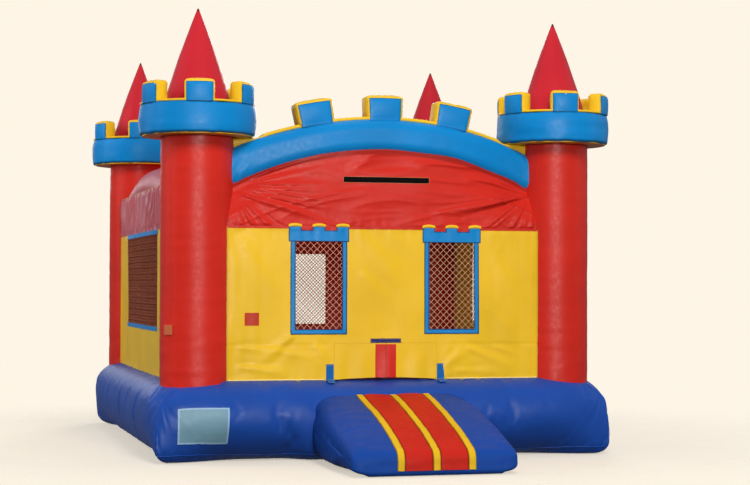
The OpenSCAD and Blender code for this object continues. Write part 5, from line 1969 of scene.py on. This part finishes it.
# Lights: name, place, target, size, power, tint and whether gloss mirrors it
LIGHTS = (
    ("key", (-1.2, -11.2, 8.6), (0, -1, 1.6), (3.6, 3.6), 930, (1, 0.98, 0.94), False),
    ("softbox", (-3.8, -33, 4.4), (0, -1, 1.8), (14, 5), 3700, (1, 0.98, 0.95), True),
    ("fill", (-10, 1.0, 4.5), (-1, 0, 1.5), (6, 6), 520, (0.98, 0.98, 1), False),
    ("sky", (-4.5, 17, 5.5), (-2, 0, 1), (7, 4), 130, (0.96, 0.98, 1), True),
    ("right", (11, -2, 4.5), (1, 0, 1.5), (6, 6), 300, (0.98, 0.98, 1), False),
    ("top", (0, 0, 10), (0, 0, 1), (6, 6), 70, (1, 1, 1), True),
    ("roof_glow", (0, 0.3, 2.5), (0, 0.3, 0.7), (2.2, 2.8), 12, (1, 0.8, 0.68), False),
    ("back", (5, 11, 6), (0, 0, 1.8), (6, 6), 680, (1, 0.98, 0.95), True),
)


def camera_matrix():
    """The camera's place and axes: right, up and back from yaw towards +X, pitch and roll."""
    sine, cosine = math.sin(CAMERA_YAW), math.cos(CAMERA_YAW)
    ahead = Vector((sine, cosine, 0)) * math.cos(CAMERA_PITCH) + Vector((0, 0, math.sin(CAMERA_PITCH)))
    level = Vector((cosine, -sine, 0))
    upright = level.cross(ahead)
    right = level * math.cos(CAMERA_ROLL) + upright * math.sin(CAMERA_ROLL)
    up = upright * math.cos(CAMERA_ROLL) - level * math.sin(CAMERA_ROLL)
    axes = Matrix((right, up, -ahead)).transposed().to_4x4()
    return Matrix.Translation(CAMERA_PLACE) @ axes


def add_light(name, place, target, size, power, tint, mirrored):
    """A rectangular area light aimed at a point, with its width kept level, which gloss may mirror or not."""
    data = bpy.data.lights.new(name, "AREA")
    data.shape = "RECTANGLE"
    data.size, data.size_y = size
    data.energy, data.color = power, tint
    light = bpy.data.objects.new(name, data)
    light.location = place
    light.visible_glossy = mirrored
    light.visible_camera = False
    light.rotation_euler = (Vector(target) - Vector(place)).to_track_quat("-Z", "Y").to_euler()
    bpy.context.scene.collection.objects.link(light)


def pale_floor():
    """A pale matt finish that fades away from the object, so that the backdrop shows behind it."""
    finish = Finish("studio_floor")
    far = finish.node("ShaderNodeVectorMath", {0: finish.place}, operation="LENGTH").outputs["Value"]
    values = {"Value": far, "From Min": FADE_START, "From Max": FADE_END, "To Min": 0.5, "To Max": 1.0}
    share = finish.node("ShaderNodeMapRange", values, interpolation_type="SMOOTHSTEP").outputs[0]
    finish.set(Base_Color=finish.mottled(finish.noise(1.5, 4), colours().backdrop, 0.9, 0.94), Roughness=0.85)
    clear = finish.node("ShaderNodeBsdfTransparent").outputs[0]
    both = finish.node("ShaderNodeMixShader", {0: share, 1: finish.shader.outputs[0], 2: clear}).outputs[0]
    finish.put(both, finish.nodes["Material Output"].inputs["Surface"])
    return finish.material


def studio_floor():
    """A wide disc just below the object."""
    disc = around(full_turn(64), np.linspace(0.01, FLOOR_R, 24)[:, None], FLOOR_Z)
    floor = add_mesh("studio_floor", patch(disc, closed_v=True))
    floor.data.materials.append(pale_floor())
    floor.visible_diffuse = floor.visible_glossy = False


def studio_world():
    """Dim ambient light, stronger from above and in reflections, and the backdrop that the camera sees."""
    world = bpy.data.worlds.new("studio")
    world.use_nodes = True
    tree = Nodes(world.node_tree)
    incoming = tree.node("ShaderNodeNewGeometry").outputs["Incoming"]
    level = tree.node("ShaderNodeSeparateXYZ", {0: incoming}).outputs["Z"]
    values = {"Value": level, "From Min": -0.3, "From Max": 0.1, "To Min": SKY_LIGHT, "To Max": GROUND_LIGHT}
    rise = tree.node("ShaderNodeMapRange", values).outputs[0]
    ray = tree.node("ShaderNodeLightPath").outputs
    values = {0: ray["Is Glossy Ray"], 1: GLOSS_LIGHT, 2: rise}
    strength = tree.node("ShaderNodeMath", values, operation="MULTIPLY_ADD").outputs[0]
    ambient = tree.nodes["Background"]
    tree.put(AMBIENT, ambient.inputs["Color"])
    tree.put(strength, ambient.inputs["Strength"])
    shown = tree.node("ShaderNodeBackground", {"Color": toned(colours().backdrop, 1.0)}).outputs[0]
    values = {0: ray["Is Camera Ray"], 1: ambient.outputs[0], 2: shown}
    both = tree.node("ShaderNodeMixShader", values).outputs[0]
    tree.put(both, tree.nodes["World Output"].inputs["Surface"])
    return world


def add_camera():
    """The camera that matches the photo."""
    data = bpy.data.cameras.new("camera")
    data.sensor_width = SENSOR_MM
    data.lens = FOCAL_PIXELS / PHOTO_WIDTH * SENSOR_MM
    data.clip_end = FARTHEST
    camera = bpy.data.objects.new("camera", data)
    camera.matrix_world = camera_matrix()
    bpy.context.scene.collection.objects.link(camera)
    return camera


class HOUSE_OT_stage(bpy.types.Operator):
    """Studio floor, backdrop, lights and camera"""

    bl_idname = "bounce_house.stage"
    bl_label = "Stage"

    def execute(self, context):
        studio_floor()
        context.scene.world = studio_world()
        for light in LIGHTS:
            add_light(*light)
        context.scene.camera = add_camera()
        context.scene.view_settings.view_transform = "Standard"
        return {"FINISHED"}


PIECES = (
    HOUSE_OT_base,
    HOUSE_OT_floor,
    HOUSE_OT_towers,
    HOUSE_OT_arch,
    HOUSE_OT_beams,
    HOUSE_OT_front_wall,
    HOUSE_OT_side_walls,
    HOUSE_OT_back_wall,
    HOUSE_OT_door,
    HOUSE_OT_ramp,
    HOUSE_OT_fittings,
    HOUSE_OT_patches,
    HOUSE_OT_stage,
)


class HOUSE_PT_sidebar(bpy.types.Panel):
    """Colours, sizes and pieces of the bounce house"""

    bl_idname = "HOUSE_PT_sidebar"
    bl_label = "Bounce House"
    bl_space_type = "VIEW_3D"
    bl_region_type = "UI"
    bl_category = "Bounce House"

    def draw(self, context):
        for group in (context.scene.house_colours, context.scene.house_sizes):
            for key in group.bl_rna.properties.keys():
                if key not in ("rna_type", "name"):
                    self.layout.prop(group, key)
        for piece in PIECES:
            self.layout.operator(piece.bl_idname)


CLASSES = (HouseColours, HouseSizes, *PIECES, HOUSE_PT_sidebar)


def register():
    """Registers the classes and hangs the two property groups on the scene."""
    for cls in CLASSES:
        bpy.utils.register_class(cls)
    bpy.types.Scene.house_colours = PointerProperty(type=HouseColours)
    bpy.types.Scene.house_sizes = PointerProperty(type=HouseSizes)


def unregister():
    """Undoes register."""
    del bpy.types.Scene.house_sizes
    del bpy.types.Scene.house_colours
    for cls in reversed(CLASSES):
        bpy.utils.unregister_class(cls)


def main():
    """Builds the whole house."""
    register()
    for piece in PIECES:
        group, name = piece.bl_idname.split(".")
        getattr(getattr(bpy.ops, group), name)()


if __name__ == "__main__":
    main()
